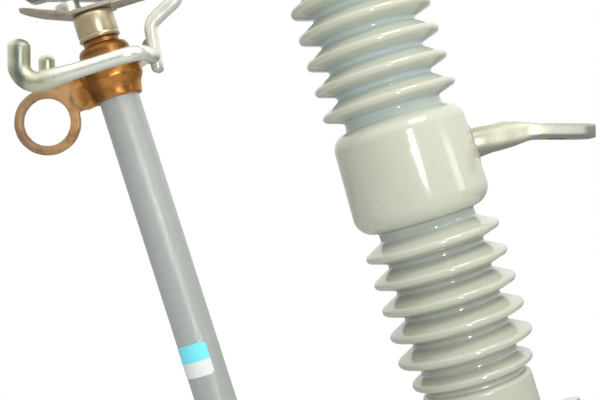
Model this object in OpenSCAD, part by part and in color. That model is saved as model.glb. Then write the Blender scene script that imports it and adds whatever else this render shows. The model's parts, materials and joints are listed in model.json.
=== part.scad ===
// Open distribution fuse cutout: a leaning porcelain insulator on a mounting strap,
// a contact and attachment hooks at its top, an open hinge at its bottom, and a fuse holder
// between them that swings forward and down on its trunnion.
// Millimetres. The origin is the centre of the bolt hole on the top face of the mounting strap.
// +X points back along the strap, +Z is up, and Y = 0 is the middle plane, about which all but the
// roughly cast hooks, the label and the lever's spring is a mirror image.

/* [Insulator] */
// Forward lean of the insulator and of the closed fuse holder, in degrees
lean = 17.2; // [0:0.1:30]
// Diameter of the porcelain core between the sheds
core_d = 67; // [56:0.5:72]
// Diameter over the sheds
shed_d = 93.6; // [84:0.2:120]
// Distance from one shed to the next
shed_pitch = 18.6; // [17.5:0.1:26]
// Sheds above the collar, and as many below it
sheds = 6; // [2:1:8]
// Diameter of the last, smaller shed at each end
end_shed_d = 84; // [78:0.5:92]
// Height of the middle collar
collar_h = 72; // [50:1:90]
// Diameter of the collar near its top
collar_top_d = 91.6; // [80:0.2:110]
// Diameter of the collar near its bottom
collar_bottom_d = 94.4; // [80:0.2:110]
// Diameter of the plain band at each end
end_d = 76; // [68:0.5:79]
// Height of the plain band at each end
end_h = 46; // [34:1:60]

/* [Mounting strap] */
// Thickness of the strap's flat pad
pad_t = 9.5; // [6:0.5:12]
// Width of the strap's flat pad
pad_w = 38; // [32:1:50]
// Height of the heavy shank where it leaves the collar
shank_h = 21.5; // [18:0.5:24]
// Diameter of the bolt hole in the pad
bolt_hole_d = 14.3; // [8:0.1:18]
// Distance from the bolt hole to the end of the pad
pad_end = 23.3; // [14:0.1:40]
// Distance from the collar's axis to the bolt hole
reach = 100; // [92:1:140]
// Depth of the collar's centre below the pad's top face
drop = 30; // [26:0.5:34]

/* [Fuse holder] */
// Distance from the insulator's axis to the fuse tube's axis
arm = 175; // [175:1:220]
// Lean of the fuse tube beyond the insulator's own lean, in degrees
tube_tilt = 0.55; // [0:0.05:1]
// Outer diameter of the fuse tube
tube_d = 27.6; // [22:0.1:34]
// Bore of the fuse tube
bore_d = 16; // [8:0.5:18]
// Wall of both ferrules where the tube comes out of them
ferrule_wall = 2.4; // [1.5:0.1:4]
// Width of the upper ferrule's flange, out from the tube
flange_lip = 7.2; // [4:0.1:7.5]
// Diameter of the cap on the upper ferrule
cap_d = 28; // [25:0.5:34]
// Diameter of the hole in the pull ring
ring_hole_d = 32.2; // [24:0.2:36]
// Width of the pull ring's rim
ring_rim = 6.5; // [5:0.1:9]
// Thickness of the pull ring and of its web
ring_t = 7; // [5:0.5:12]
// Distance from the tube's axis to the centre of the pull ring
ring_reach = 51.4; // [50:0.1:62]

/* [Hooks] */
// Diameter of the attachment hooks' rod
rod_d = 10.2; // [8:0.2:12]
// Distance from the middle plane to the centre of each hook
hook_y = 39; // [34:0.5:48]
// Distance from the insulator's top face down to the hooks' arms, along the lean
hook_drop = 71.5; // [64:0.1:82]

/* [Hinge] */
// Distance from the tube's axis back to the trunnion's axis
hinge_back = 26; // [25:0.5:30]
// Diameter of the trunnion's pins
trunnion_d = 14; // [10:0.2:18]
// Radial clearance of the trunnion in its saddles
trunnion_gap = 0.08; // [0.02:0.01:0.1]
// Distance between the two hinge cheeks, inside
cheek_gap = 46; // [44:0.5:56]
// Thickness of each hinge cheek
cheek_t = 5; // [4:0.5:8]

/* [Hidden] */

// Colours
porcelain = [0.80, 0.81, 0.74];
zinc = [0.72, 0.74, 0.70];
bronze = [0.72, 0.45, 0.22];
plated = [0.70, 0.63, 0.50];
cement = [0.62, 0.61, 0.58];
fibre = [0.65, 0.68, 0.66];
copper = [0.56, 0.52, 0.44];

// Insulator, along its own leaning axis, with the collar's centre at zero
core_r = core_d / 2;
shed_top_slope = 28;
shed_under_slope = 18;
shed_tip_r = 3;
root_r = 2.4;
collar_top_r = 12;
collar_bottom_r = 13.5;
band_r = 4;
band_neck = 3;
end_pitch = shed_pitch - 1.4;
// Rise of a shed's upper root above its tip, and fall of its lower root below it
function shed_rise(d) = shed_tip_r * cos(shed_top_slope)
    + (d / 2 - shed_tip_r * (1 - sin(shed_top_slope)) - core_r) * tan(shed_top_slope);
function shed_fall(d) = shed_tip_r * cos(shed_under_slope)
    + (d / 2 - shed_tip_r * (1 - sin(shed_under_slope)) - core_r) * tan(shed_under_slope);
neck_h = 6.4;
first_up = collar_h / 2 + neck_h + shed_fall(shed_d);
first_down = -collar_h / 2 - neck_h - shed_rise(shed_d);
last_offset = (sheds - 2) * shed_pitch + end_pitch;
band_up = first_up + last_offset + shed_rise(end_shed_d) + band_neck;
band_down = first_down - last_offset - shed_fall(end_shed_d) - band_neck;
top_z = band_up + end_h;
bottom_z = band_down - end_h;

// Thickness of glue, grout or plating left between pieces that are fixed together
glue = 0.1;

// Inserts cemented into the insulator's ends
socket_d = 44;
socket_depth = 46;
anchor_d = 26;
stud_d = 16;
nut_af = 24;
nut_h = 13;
washer_d = 34;
washer_t = 3;

// Mounting strap
shank_d = 20;
shank_socket_d = 30;
shank_inner = 8;
grout_start = 6;
shank_rise = 3.7;
shank_out = collar_bottom_d / 2 - 1;
shank_slope_len = 25;
pad_corner_r = 8;
pad_edge = 76;

// Height of the hooks' arms, from which the fuse holder's head and the contact are set out
hook_z = top_z - hook_drop;

// Top support, contact and its spring
support_t = 6;
support_w = 38;
support_z = top_z;
terminal_u = 58;
support_back = terminal_u + support_w / 2;
support_front = -arm - 44;
seat_gap = 0.3;
cap_top = hook_z + 40.7;
contact_z = cap_top + seat_gap;
contact_t = 2.5;
contact_w = 30;
contact_rear_w = 22;
contact_front = -arm - 47;
contact_back = -arm + 42;
contact_tab = contact_back - 26;
contact_path = [[contact_front, contact_z + 15.6], [-arm - 34, contact_z + 9.5],
    [-arm - 13, contact_z + contact_t / 2], [contact_back, contact_z + contact_t / 2],
    [contact_back, support_z - contact_t / 2], [contact_tab, support_z - contact_t / 2]];
contact_stud_d = 17;
contact_stud_h = 8;
contact_stud_u = -arm - 15;
contact_shank_d = 6;
contact_shank_u = -arm - 9;
rivet_d = 8;
rivet_head_d = 14;
rivet_head_h = 3;
contact_rivet_u = contact_tab + 12;
spring_t = 2;
spring_w = 14;
spring_low = [-arm + 12, contact_z + 6];
spring_high = [-arm - 28, contact_z + 18.6];
fold_u = support_front + 9;
fold_low = contact_z + 18.9;
fold_high = support_z - spring_t / 2;
rivet_us = [fold_u + 12, fold_u + 26, contact_rivet_u];

// Hooks and their strut
rod_sides = 12;
hook_turn_r = 11.5;
hook_front = -arm - 39;
hook_tip_len = 11.6;
hook_rear_r = 14;
hook_rear = -arm + 28;
hook_weld_u = hook_rear + 2.5;
left_tip_d = rod_d + 4.4;
right_tip_d = rod_d + 1.4;
right_arm_rise = 9;
strut_t = 8;
strut_w = 16;
strut_low = [-arm + 31.5, hook_z - 7];
strut_knee = [-arm + 35, hook_z + 22];
strut_bend = [-arm + 57, hook_z + 33];
strut_foot_back = -end_d / 2 - 9.5;
strut_foot_front = strut_foot_back - 48.5;
strut_bolt_us = [strut_foot_front + 13, strut_foot_back - 11];
bolt_d = 9.6;
bolt_slack = 0.4;
bolt_head_d = 18;
bolt_head_h = 7;

// Terminals
terminal_l = 34;
terminal_w = 34;
terminal_h = 13;
eyebolt_d = 12;
eye_d = 25;
eye_hole_d = 15;
eye_t = 9;
eye_z = terminal_h + 3;
eye_slack = 1;
groove_d = eye_hole_d + 1.4;
nut_small_af = 19;
nut_small_h = 10;

// Fuse holder, along the tube
tube_top = hook_z + 11.7;
ferrule_low = hook_z - 20.3;
ferrule_d = tube_d + 2 * ferrule_wall;
flange_d = tube_d + 2 * flange_lip;
neck_d = cap_d - 3.4;
neck_z = hook_z + 17;
neck_top = hook_z + 21.7;
thread_d = cap_d - 8;
thread_h = 10;
ring_z = hook_z - 20.7;
cap_shoulder = 3;
trunnion_z = bottom_z + 23;
label_low = trunnion_z + 82.3;
label_h = 22.5;
label_t = 0.4;
tube_low = trunnion_z - 9;
clamp_low = trunnion_z - 3;
clamp_high = trunnion_z + 37;
clamp_wall = 4.2;
clamp_d = tube_d + 2 * clamp_wall;
ear_l = 10;
ear_w = 22;
ear_slit = 2.5;
screw_d = 6;
screw_zs = [clamp_low + 11, clamp_high - 11];
hub_w = cheek_gap - 12;
hub_d = trunnion_d + 10;
pin_reach = cheek_gap / 2 + cheek_t + 5;

// Hinge: a point beside the fuse tube, moved to where the tube's tilt takes it
function tilted(x, z) = [-arm + x * cos(tube_tilt) - (z - hook_z) * sin(tube_tilt),
    hook_z + x * sin(tube_tilt) + (z - hook_z) * cos(tube_tilt)];
hinge_u = tilted(hinge_back, trunnion_z)[0];
hinge_z = tilted(hinge_back, trunnion_z)[1];
hub_turn_r = 57;
web_t = 6;
web_u = hinge_u + hub_turn_r;
web_foot_back = -end_d / 2 - 7.5;
hinge_bolt_us = [web_u + 15, web_foot_back - 9.5];
cheek_low = hinge_z - trunnion_d / 2 - 8;
cheek_top = hinge_z + trunnion_d / 2 + 11;
cheek_front = hinge_u - trunnion_d / 2 - 9;
cheek_corner_r = 6;

// Lever that throws the fuse link out
lever_t = 4;
lever_w = 8;
lever_u = tube_d / 2 + 7;
lever_pin_d = 5;
lever_pin_z = trunnion_z - hub_d / 2 - 6;
lever_len = 26;
lever_ear_y = 11.5;
lever_ear_t = 4;

/* Placing: everything but the strap's pad is drawn along the lean, at the collar's centre */
module lean_frame() {
    translate([-reach, 0, -drop]) rotate([0, -lean, 0]) children();
}

// A flat outline in X and Z, thickened evenly about the plane Y = y
module across(w, y = 0) {
    translate([0, y, 0]) rotate([90, 0, 0]) translate([0, 0, -w / 2]) linear_extrude(w) children();
}

// A bent strip of even thickness through a list of points, with mitred corners
function unit(v) = v / norm(v);
function left_of(v) = [-v[1], v[0]];
function mitre(points, i, t) =
    let (last = len(points) - 1,
        into = left_of(unit(points[max(i, 1)] - points[max(i, 1) - 1])),
        out = left_of(unit(points[min(i + 1, last)] - points[min(i + 1, last) - 1])),
        middle = unit(into + out))
    middle * t / 2 / (middle * out);
module strip(points, t) polygon(concat(
    [for (i = [0 : len(points) - 1]) points[i] + mitre(points, i, t)],
    [for (i = [len(points) - 1 : -1 : 0]) points[i] - mitre(points, i, t)]));

// An arc from one angle to another, as points
function arc(x, y, r, from, to, steps) =
    [for (i = [0 : steps]) let (a = from + (to - from) * i / steps) [x + r * cos(a), y + r * sin(a)]];

// One shed with its root fillets, from below to above
function shed_points(z, d) =
    let (under = z - shed_fall(d), over = z + shed_rise(d), fillet_x = core_r + root_r)
    concat(
        arc(fillet_x, under - root_r * tan(45 - shed_under_slope / 2), root_r,
            180, 90 + shed_under_slope, 3),
        arc(d / 2 - shed_tip_r, z, shed_tip_r, shed_under_slope - 90, 90 - shed_top_slope, 6),
        arc(fillet_x, over + root_r * tan(45 - shed_top_slope / 2), root_r,
            270 - shed_top_slope, 180, 3));

function shed_at(i) = i < sheds - 1 ? i * shed_pitch : last_offset;
function shed_size(i) = i < sheds - 1 ? shed_d : end_shed_d;

function insulator_points() = concat(
    [[0, bottom_z]],
    arc(end_d / 2 - band_r, bottom_z + band_r, band_r, -90, 0, 4),
    arc(end_d / 2 - band_r, band_down - band_r, band_r, 0, 90, 4),
    [for (i = [sheds - 1 : -1 : 0]) each shed_points(first_down - shed_at(i), shed_size(i))],
    [[core_r, -collar_h / 2]],
    arc(collar_bottom_d / 2 - collar_bottom_r, collar_bottom_r - collar_h / 2, collar_bottom_r, -90, 0, 8),
    arc(collar_top_d / 2 - collar_top_r, collar_h / 2 - collar_top_r, collar_top_r, 0, 90, 8),
    [[core_r, collar_h / 2]],
    [for (i = [0 : sheds - 1]) each shed_points(first_up + shed_at(i), shed_size(i))],
    arc(end_d / 2 - band_r, band_up + band_r, band_r, -90, 0, 4),
    arc(end_d / 2 - band_r, top_z - band_r, band_r, 0, 90, 4),
    [[0, top_z]]);

module insulator() color(porcelain) lean_frame() difference() {
    rotate_extrude($fn = 96) polygon(insulator_points());
    translate([grout_start, 0, shank_rise]) rotate([0, 90, 0])
        cylinder(d = shank_socket_d, h = collar_bottom_d, $fn = 48);
    translate([0, 0, top_z - socket_depth]) cylinder(d = socket_d, h = socket_depth + 1, $fn = 48);
    translate([0, 0, bottom_z - 1]) cylinder(d = socket_d, h = socket_depth + 1, $fn = 48);
}

// Grout round the shank, rounded off just inside the collar's surface
module strap_grout() color(cement) lean_frame() difference() {
    intersection() {
        translate([grout_start, 0, shank_rise]) rotate([0, 90, 0])
            cylinder(d = shank_socket_d - 2 * glue, h = collar_bottom_d, $fn = 48);
        cylinder(d = collar_top_d - 1, h = collar_h, center = true, $fn = 96);
    }
    translate([shank_inner, 0, shank_rise]) rotate([0, 90, 0])
        cylinder(d = shank_d + 2 * glue, h = collar_bottom_d, $fn = 48);
}

// A point along the lean, given in the strap's own upright frame
function upright(u, z) = [u * cos(lean) - z * sin(lean) - reach, u * sin(lean) + z * cos(lean) - drop];

// Side view of the strap: the heavy shank leaves the collar square to its axis and flattens into the pad
module strap_side() polygon([
    upright(shank_out, shank_rise + shank_h / 2),
    upright(shank_out + shank_slope_len / 2, shank_rise + shank_h / 2),
    [58 - reach, 2],
    [70 - reach, 2.2],
    [85 - reach, 0],
    [pad_end, 0],
    [pad_end, -pad_t],
    [pad_edge - reach, -pad_t],
    upright(shank_out + shank_slope_len, shank_rise - shank_h / 2),
    upright(shank_out, shank_rise - shank_h / 2)]);

// Plan of the strap: it widens from the round shank to the pad, whose corners are rounded
module strap_plan() {
    start = upright(shank_out, shank_rise - shank_h / 2)[0] - shank_h;
    flare = upright(shank_out + shank_slope_len, 0)[0];
    polygon([[start, -shank_d / 2], [flare, -pad_w / 2], [pad_end - pad_corner_r, -pad_w / 2],
        [pad_end - pad_corner_r, pad_w / 2], [flare, pad_w / 2], [start, shank_d / 2]]);
    translate([pad_end - 2 * pad_corner_r, pad_corner_r - pad_w / 2])
        square([2 * pad_corner_r, pad_w - 2 * pad_corner_r]);
    for (side = [-1, 1]) translate([pad_end - pad_corner_r, side * (pad_w / 2 - pad_corner_r)])
        circle(r = pad_corner_r, $fn = 48);
}

module mounting_strap() color(zinc) {
    difference() {
        intersection() {
            across(2 * pad_w) strap_side();
            translate([0, 0, -2 * drop]) linear_extrude(3 * drop) strap_plan();
        }
        translate([0, 0, -pad_t - 1]) cylinder(d = bolt_hole_d, h = pad_t + 2, $fn = 48);
    }
    lean_frame() translate([shank_inner, 0, shank_rise]) rotate([0, 90, 0])
        cylinder(d = shank_d, h = shank_out - shank_inner + 2, $fn = 48);
}

// Insert at one end of the insulator, drawn for the top: a knurled anchor in cement, with a threaded end
module end_cement() difference() {
    translate([0, 0, top_z - socket_depth])
        cylinder(d = socket_d - 2 * glue, h = socket_depth - 0.5, $fn = 48);
    translate([0, 0, top_z - socket_depth + 5])
        cylinder(d = anchor_d + 2 * glue, h = socket_depth, $fn = 48);
}

module end_stud() {
    translate([0, 0, top_z - socket_depth + 5]) cylinder(d = anchor_d, h = socket_depth - 5, $fn = 48);
    translate([0, 0, top_z - 1]) cylinder(d = stud_d, h = support_t + washer_t + nut_h + 5, $fn = 48);
}

module end_nut() difference() {
    union() {
        translate([0, 0, top_z + support_t]) cylinder(d = washer_d, h = washer_t, $fn = 48);
        translate([0, 0, top_z + support_t + washer_t]) cylinder(d = nut_af / cos(30), h = nut_h, $fn = 6);
    }
    translate([0, 0, top_z]) cylinder(d = stud_d + bolt_slack, h = 2 * nut_h + support_t, $fn = 48);
}

// The bottom end is the top end turned over
module at_bottom() translate([0, 0, top_z + bottom_z]) mirror([0, 0, 1]) children();

module top_cement() color(cement) lean_frame() end_cement();
module top_stud() color(zinc) lean_frame() end_stud();
module top_nut() color(zinc) lean_frame() end_nut();
module bottom_cement() color(cement) lean_frame() at_bottom() end_cement();
module bottom_stud() color(zinc) lean_frame() at_bottom() end_stud();
module bottom_nut() color(zinc) lean_frame() at_bottom() end_nut();

// A support bar on an end of the insulator, from its front to its terminal, with rounded ends
module support_bar(front, back, holes) difference() {
    translate([0, 0, top_z]) linear_extrude(support_t) {
        translate([front + support_w / 2, -support_w / 2]) square([back - front - support_w, support_w]);
        for (u = [front + support_w / 2, back - support_w / 2])
            translate([u, 0]) circle(d = support_w, $fn = 64);
    }
    translate([0, 0, top_z - 1]) cylinder(d = stud_d + bolt_slack, h = support_t + 2, $fn = 48);
    for (hole = holes) translate([hole[0], 0, top_z - 1]) cylinder(d = hole[1], h = support_t + 2, $fn = 32);
}

module top_support() color(zinc) lean_frame()
    support_bar(support_front, support_back, concat(
        [for (u = strut_bolt_us) [u, bolt_d + bolt_slack]],
        [for (u = rivet_us) [u, rivet_d + bolt_slack]],
        [[terminal_u, eyebolt_d + bolt_slack]]));

// Contact plate: flat over the cap, with a rounded lip that flares up in front and a riser to its rivet
module contact_plan() {
    translate([contact_front + contact_w / 2, 0]) circle(d = contact_w, $fn = 64);
    translate([contact_front + contact_w / 2, -contact_w / 2]) square([47, contact_w]);
    translate([-arm, -contact_rear_w / 2]) square([contact_back + contact_t + arm, contact_rear_w]);
}

module contact_plate() color(copper) lean_frame() difference() {
    intersection() {
        across(2 * contact_w) strip(contact_path, contact_t);
        translate([0, 0, hook_z]) linear_extrude(hook_drop + 1) contact_plan();
    }
    translate([contact_shank_u, 0, contact_z - 1])
        cylinder(d = contact_shank_d + bolt_slack, h = contact_t + 2, $fn = 32);
    translate([contact_rivet_u, 0, support_z - contact_t - 1])
        cylinder(d = rivet_d + bolt_slack, h = contact_t + 2, $fn = 32);
}

// Heavy button on the bend of the contact plate, which takes the push of the spring
module contact_stud() color(zinc) lean_frame() {
    difference() {
        translate([contact_stud_u, 0, contact_z])
            cylinder(d = contact_stud_d, h = contact_t + contact_stud_h, $fn = 48);
        across(2 * contact_w) polygon(concat(
            [for (i = [0 : 3]) contact_path[i] + mitre(contact_path, i, contact_t)],
            [[contact_back, contact_z - 1], [contact_front, contact_z - 1]]));
    }
    translate([contact_shank_u, 0, contact_z + seat_gap])
        cylinder(d = contact_shank_d, h = contact_t + contact_stud_h / 2, $fn = 32);
}

// Leaf spring: from the support's front end it folds back down to press on the contact plate
module backup_spring() color(zinc) lean_frame() difference() {
    across(spring_w) strip(concat(
        [spring_low, spring_high],
        arc(fold_u, (fold_low + fold_high) / 2, (fold_high - fold_low) / 2, 270, 90, 8),
        [[fold_u + 34, fold_high]]), spring_t);
    for (u = rivet_us) translate([u, 0, fold_high - spring_t])
        cylinder(d = rivet_d + bolt_slack, h = 2 * spring_t, $fn = 32);
}

// A rivet through the support bar and what lies under it
module rivet(u, under) translate([u, 0, 0]) {
    translate([0, 0, support_z - under - rivet_head_h])
        cylinder(d = rivet_head_d, h = rivet_head_h, $fn = 32);
    translate([0, 0, support_z - under]) cylinder(d = rivet_d, h = under + support_t, $fn = 32);
    translate([0, 0, support_z + support_t]) cylinder(d = rivet_head_d, h = rivet_head_h, $fn = 32);
}

module spring_rivets() color(zinc) lean_frame() {
    for (u = rivet_us) rivet(u, u == contact_rivet_u ? contact_t : spring_t);
}

// Strut: from between the hooks' ends up to a foot bolted under the top support
module hook_strut() color(zinc) lean_frame() difference() {
    across(strut_w) strip([strut_low, strut_knee, strut_bend, [strut_foot_front, support_z - strut_t / 2],
        [strut_foot_back, support_z - strut_t / 2]], strut_t);
    for (u = strut_bolt_us) translate([u, 0, support_z - strut_t - 1])
        cylinder(d = bolt_d + bolt_slack, h = strut_t + 2, $fn = 32);
}

// A round rod swept along a path of points, with a blunt end at each end
function lengthwise(path, i) = unit(path[min(i + 1, len(path) - 1)] - path[max(i - 1, 0)]);
function ring_at(centre, along, r) =
    let (sideways = unit(cross(along, abs(along[2]) < 0.9 ? [0, 0, 1] : [0, 1, 0])),
        up = cross(sideways, along))
    [for (k = [0 : rod_sides - 1]) let (a = 360 * k / rod_sides)
        centre + r * (cos(a) * sideways + sin(a) * up)];
module rod(path, radii) {
    n = len(path);
    points = [for (i = [0 : n - 1]) each ring_at(path[i], lengthwise(path, i), radii[i])];
    polyhedron(points, concat(
        [[for (k = [0 : rod_sides - 1]) k]],
        [for (i = [0 : n - 2], k = [0 : rod_sides - 1]) let (a = i * rod_sides, next = (k + 1) % rod_sides)
            [a + k, a + rod_sides + k, a + rod_sides + next, a + next]],
        [[for (k = [rod_sides - 1 : -1 : 0]) (n - 1) * rod_sides + k]]));
}

// The path of one attachment hook: an upright tip, a turn, an arm past the ferrule and a turn into the strut
hook_turn = [hook_front, hook_z + hook_turn_r];
function hook_path(side, lift) = concat(
    [for (rise = [hook_tip_len + 0.45 * rod_d, hook_tip_len + 0.3 * rod_d, hook_tip_len, hook_tip_len / 2])
        [hook_turn[0] - hook_turn_r * cos(lean) + rise * sin(lean), side * hook_y,
            hook_turn[1] + hook_turn_r * sin(lean) + rise * cos(lean)]],
    [for (p = arc(hook_turn[0], hook_turn[1], hook_turn_r, 180 - lean, 270, 8)) [p[0], side * hook_y, p[1]]],
    [[-arm - 3, side * hook_y, hook_z]],
    [for (p = arc(hook_rear - hook_rear_r, hook_y - hook_rear_r, hook_rear_r, 90, 0, 8))
        [p[0], side * p[1], hook_z + lift * (0.7 + 0.3 * (p[0] - hook_rear + hook_rear_r) / hook_rear_r)]],
    [for (gap = [2, 0]) [hook_weld_u, side * (strut_w / 2 + gap), hook_z + lift]]);

// Its rod is heavier at the tip and through the turn, and its blunt end is drawn in
function hook_radii(n, tip_d) = concat([0.2 * tip_d, 0.4 * tip_d, tip_d / 2],
    [for (i = [0 : 9]) (tip_d - (tip_d - rod_d) * 0.06 * i) / 2],
    [for (i = [14 : n]) rod_d / 2]);
module hook(side, lift, tip_d) lean_frame()
    rod(hook_path(side, lift), hook_radii(len(hook_path(side, lift)), tip_d));

module hook_left() color(zinc) hook(-1, 0, left_tip_d);
module hook_right() color(zinc) hook(1, right_arm_rise, right_tip_d);

// A hexagon bolt through the support bar, with its head outside and its nut under a piece of thickness under
module foot_bolt(u, under) translate([u, 0, 0]) {
    translate([0, 0, top_z + support_t]) cylinder(d = bolt_head_d, h = bolt_head_h, $fn = 6);
    translate([0, 0, top_z - under - bolt_head_h - 4])
        cylinder(d = bolt_d, h = under + support_t + bolt_head_h + 4, $fn = 32);
    translate([0, 0, top_z - under - bolt_head_h]) cylinder(d = bolt_head_d, h = bolt_head_h, $fn = 6);
}

module strut_bolts() color(zinc) lean_frame() for (u = strut_bolt_us) foot_bolt(u, strut_t);

// Terminal on the outside of a support bar: the conductor lies across it in a groove,
// drawn down by an eyebolt that passes through the bar
module terminal() translate([terminal_u, 0, top_z + support_t]) difference() {
    translate([-terminal_l / 2, -terminal_w / 2, 0]) cube([terminal_l, terminal_w, terminal_h]);
    across(terminal_w + 2) translate([0, eye_z]) circle(d = groove_d, $fn = 48);
    translate([0, 0, -1]) cylinder(d = eyebolt_d + bolt_slack, h = terminal_h, $fn = 32);
    translate([-eye_d / 2 - eye_slack, -eye_t / 2 - eye_slack / 2, eye_z - eye_d / 2 - eye_slack])
        cube([eye_d + 2 * eye_slack, eye_t + eye_slack, terminal_h]);
}

module eyebolt() translate([terminal_u, 0, top_z + support_t]) {
    eyebolt_below = support_t + nut_small_h + 5;
    difference() {
        union() {
            across(eye_t) translate([0, eye_z]) circle(d = eye_d, $fn = 48);
            translate([0, 0, -eyebolt_below])
                cylinder(d = eyebolt_d, h = eyebolt_below + eye_z - eye_hole_d / 2 - 1, $fn = 32);
        }
        across(eye_t + 2) translate([0, eye_z]) circle(d = eye_hole_d, $fn = 48);
    }
}

module terminal_nut() translate([terminal_u, 0, top_z - nut_small_h]) difference() {
    cylinder(d = nut_small_af / cos(30), h = nut_small_h, $fn = 6);
    translate([0, 0, -1]) cylinder(d = eyebolt_d + bolt_slack, h = nut_small_h + 2, $fn = 32);
}

module top_terminal() color(bronze) lean_frame() terminal();
module top_eyebolt() color(zinc) lean_frame() eyebolt();
module top_terminal_nut() color(zinc) lean_frame() terminal_nut();
module bottom_terminal() color(bronze) lean_frame() at_bottom() terminal();
module bottom_eyebolt() color(zinc) lean_frame() at_bottom() eyebolt();
module bottom_terminal_nut() color(zinc) lean_frame() at_bottom() terminal_nut();

// Bottom support: the same bar as at the top, and the hinge bolted on it
module bottom_support() color(zinc) lean_frame() at_bottom()
    support_bar(web_u - 4, support_back, concat(
        [for (u = hinge_bolt_us) [u, bolt_d + bolt_slack]],
        [[terminal_u, eyebolt_d + bolt_slack]]));

module hinge_bolts() color(zinc) lean_frame() at_bottom()
    for (u = hinge_bolt_us) foot_bolt(u, web_t);

// Web between the two cheeks, with a foot that lies on the bottom support
module hinge_web() color(zinc) lean_frame() difference() {
    union() {
        translate([web_u, -cheek_gap / 2 - cheek_t, bottom_z])
            cube([web_t, cheek_gap + 2 * cheek_t, cheek_top - bottom_z]);
        translate([web_u, -support_w / 2, bottom_z]) cube([web_foot_back - web_u, support_w, web_t]);
    }
    for (u = hinge_bolt_us) translate([u, 0, bottom_z - 1])
        cylinder(d = bolt_d + bolt_slack, h = web_t + 2, $fn = 32);
}

// Hinge cheek: an open saddle takes the trunnion's pin from above
module cheek(side) lean_frame() difference() {
    across(cheek_t, side * (cheek_gap + cheek_t) / 2) polygon(concat(
        [[web_u, cheek_top]],
        arc(cheek_front + cheek_corner_r, cheek_top - cheek_corner_r, cheek_corner_r, 90, 180, 6),
        arc(cheek_front + cheek_corner_r, cheek_low + cheek_corner_r, cheek_corner_r, 180, 270, 6),
        [[web_u, cheek_low]]));
    translate([hinge_u, 0, hinge_z]) rotate([90, 0, 0])
        cylinder(d = trunnion_d + 2 * trunnion_gap, h = 2 * cheek_gap, center = true, $fn = 48);
    translate([hinge_u - trunnion_d / 2 - trunnion_gap, -cheek_gap, hinge_z])
        cube([trunnion_d + 2 * trunnion_gap, 2 * cheek_gap, cheek_top - hinge_z + 1]);
}

module cheek_left() color(zinc) cheek(-1);
module cheek_right() color(zinc) cheek(1);

// Fuse holder
module along_tube() lean_frame() translate([-arm, 0, hook_z]) rotate([0, -tube_tilt, 0])
    translate([0, 0, -hook_z]) children();

module fuse_tube() color(fibre) along_tube() difference() {
    translate([0, 0, tube_low]) cylinder(d = tube_d, h = tube_top - tube_low, $fn = 64);
    translate([0, 0, tube_low - 1]) cylinder(d = bore_d, h = tube_top - tube_low + 2, $fn = 48);
}

// Upper ferrule: a flanged body turned about the tube, with a pull ring on a web in front
module upper_ferrule() color(bronze) along_tube() difference() {
    union() {
        rotate_extrude($fn = 64) polygon([[0, ferrule_low], [ferrule_d / 2, ferrule_low],
            [ferrule_d / 2 + 1.8, ferrule_low + 8], [flange_d / 2, hook_z - 7], [flange_d / 2, hook_z - 1],
            [ferrule_d / 2 + 1.2, hook_z + 12], [ferrule_d / 2 + 1.2, hook_z + 14],
            [ferrule_d / 2 - 0.3, neck_z], [neck_d / 2, neck_z + 0.8], [neck_d / 2, neck_top],
            [thread_d / 2, neck_top], [thread_d / 2, neck_top + thread_h], [0, neck_top + thread_h]]);
        across(2 * ring_t) translate([-tube_d / 2 - 8, hook_z - 12]) circle(d = 17, $fn = 48);
        across(ring_t) {
            translate([-ring_reach, ring_z]) circle(d = ring_hole_d + 2 * ring_rim, $fn = 64);
            polygon([[-ring_reach, ring_z], [-tube_d / 2 - 1, ferrule_low],
                [-tube_d / 2 - 1, ferrule_low + 24], [-ring_reach, ring_z + ring_hole_d / 2 + ring_rim]]);
        }
    }
    across(3 * ring_t) translate([-ring_reach, ring_z]) circle(d = ring_hole_d, $fn = 64);
    translate([0, 0, ferrule_low - 1])
        cylinder(d = tube_d + 2 * glue, h = tube_top - ferrule_low + 1, $fn = 64);
    translate([0, 0, tube_top - 1])
        cylinder(d = bore_d, h = neck_top + thread_h - tube_top + 2, $fn = 48);
}

// Cap: screws onto the ferrule and meets the contact plate
module tube_cap() color(plated) along_tube() difference() {
    rotate_extrude($fn = 64) polygon([[0, neck_top], [cap_d / 2, neck_top],
        [cap_d / 2, cap_top - cap_shoulder], [cap_d / 2 - cap_shoulder, cap_top], [0, cap_top]]);
    translate([0, 0, neck_top - 1]) cylinder(d = thread_d + 2 * glue, h = thread_h + 1.5, $fn = 48);
}

module tube_label() color("white") along_tube() translate([0, 0, label_low]) rotate(190)
    rotate_extrude(angle = 109, $fn = 64) translate([tube_d / 2 + glue, 0]) square([label_t, label_h]);

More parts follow.
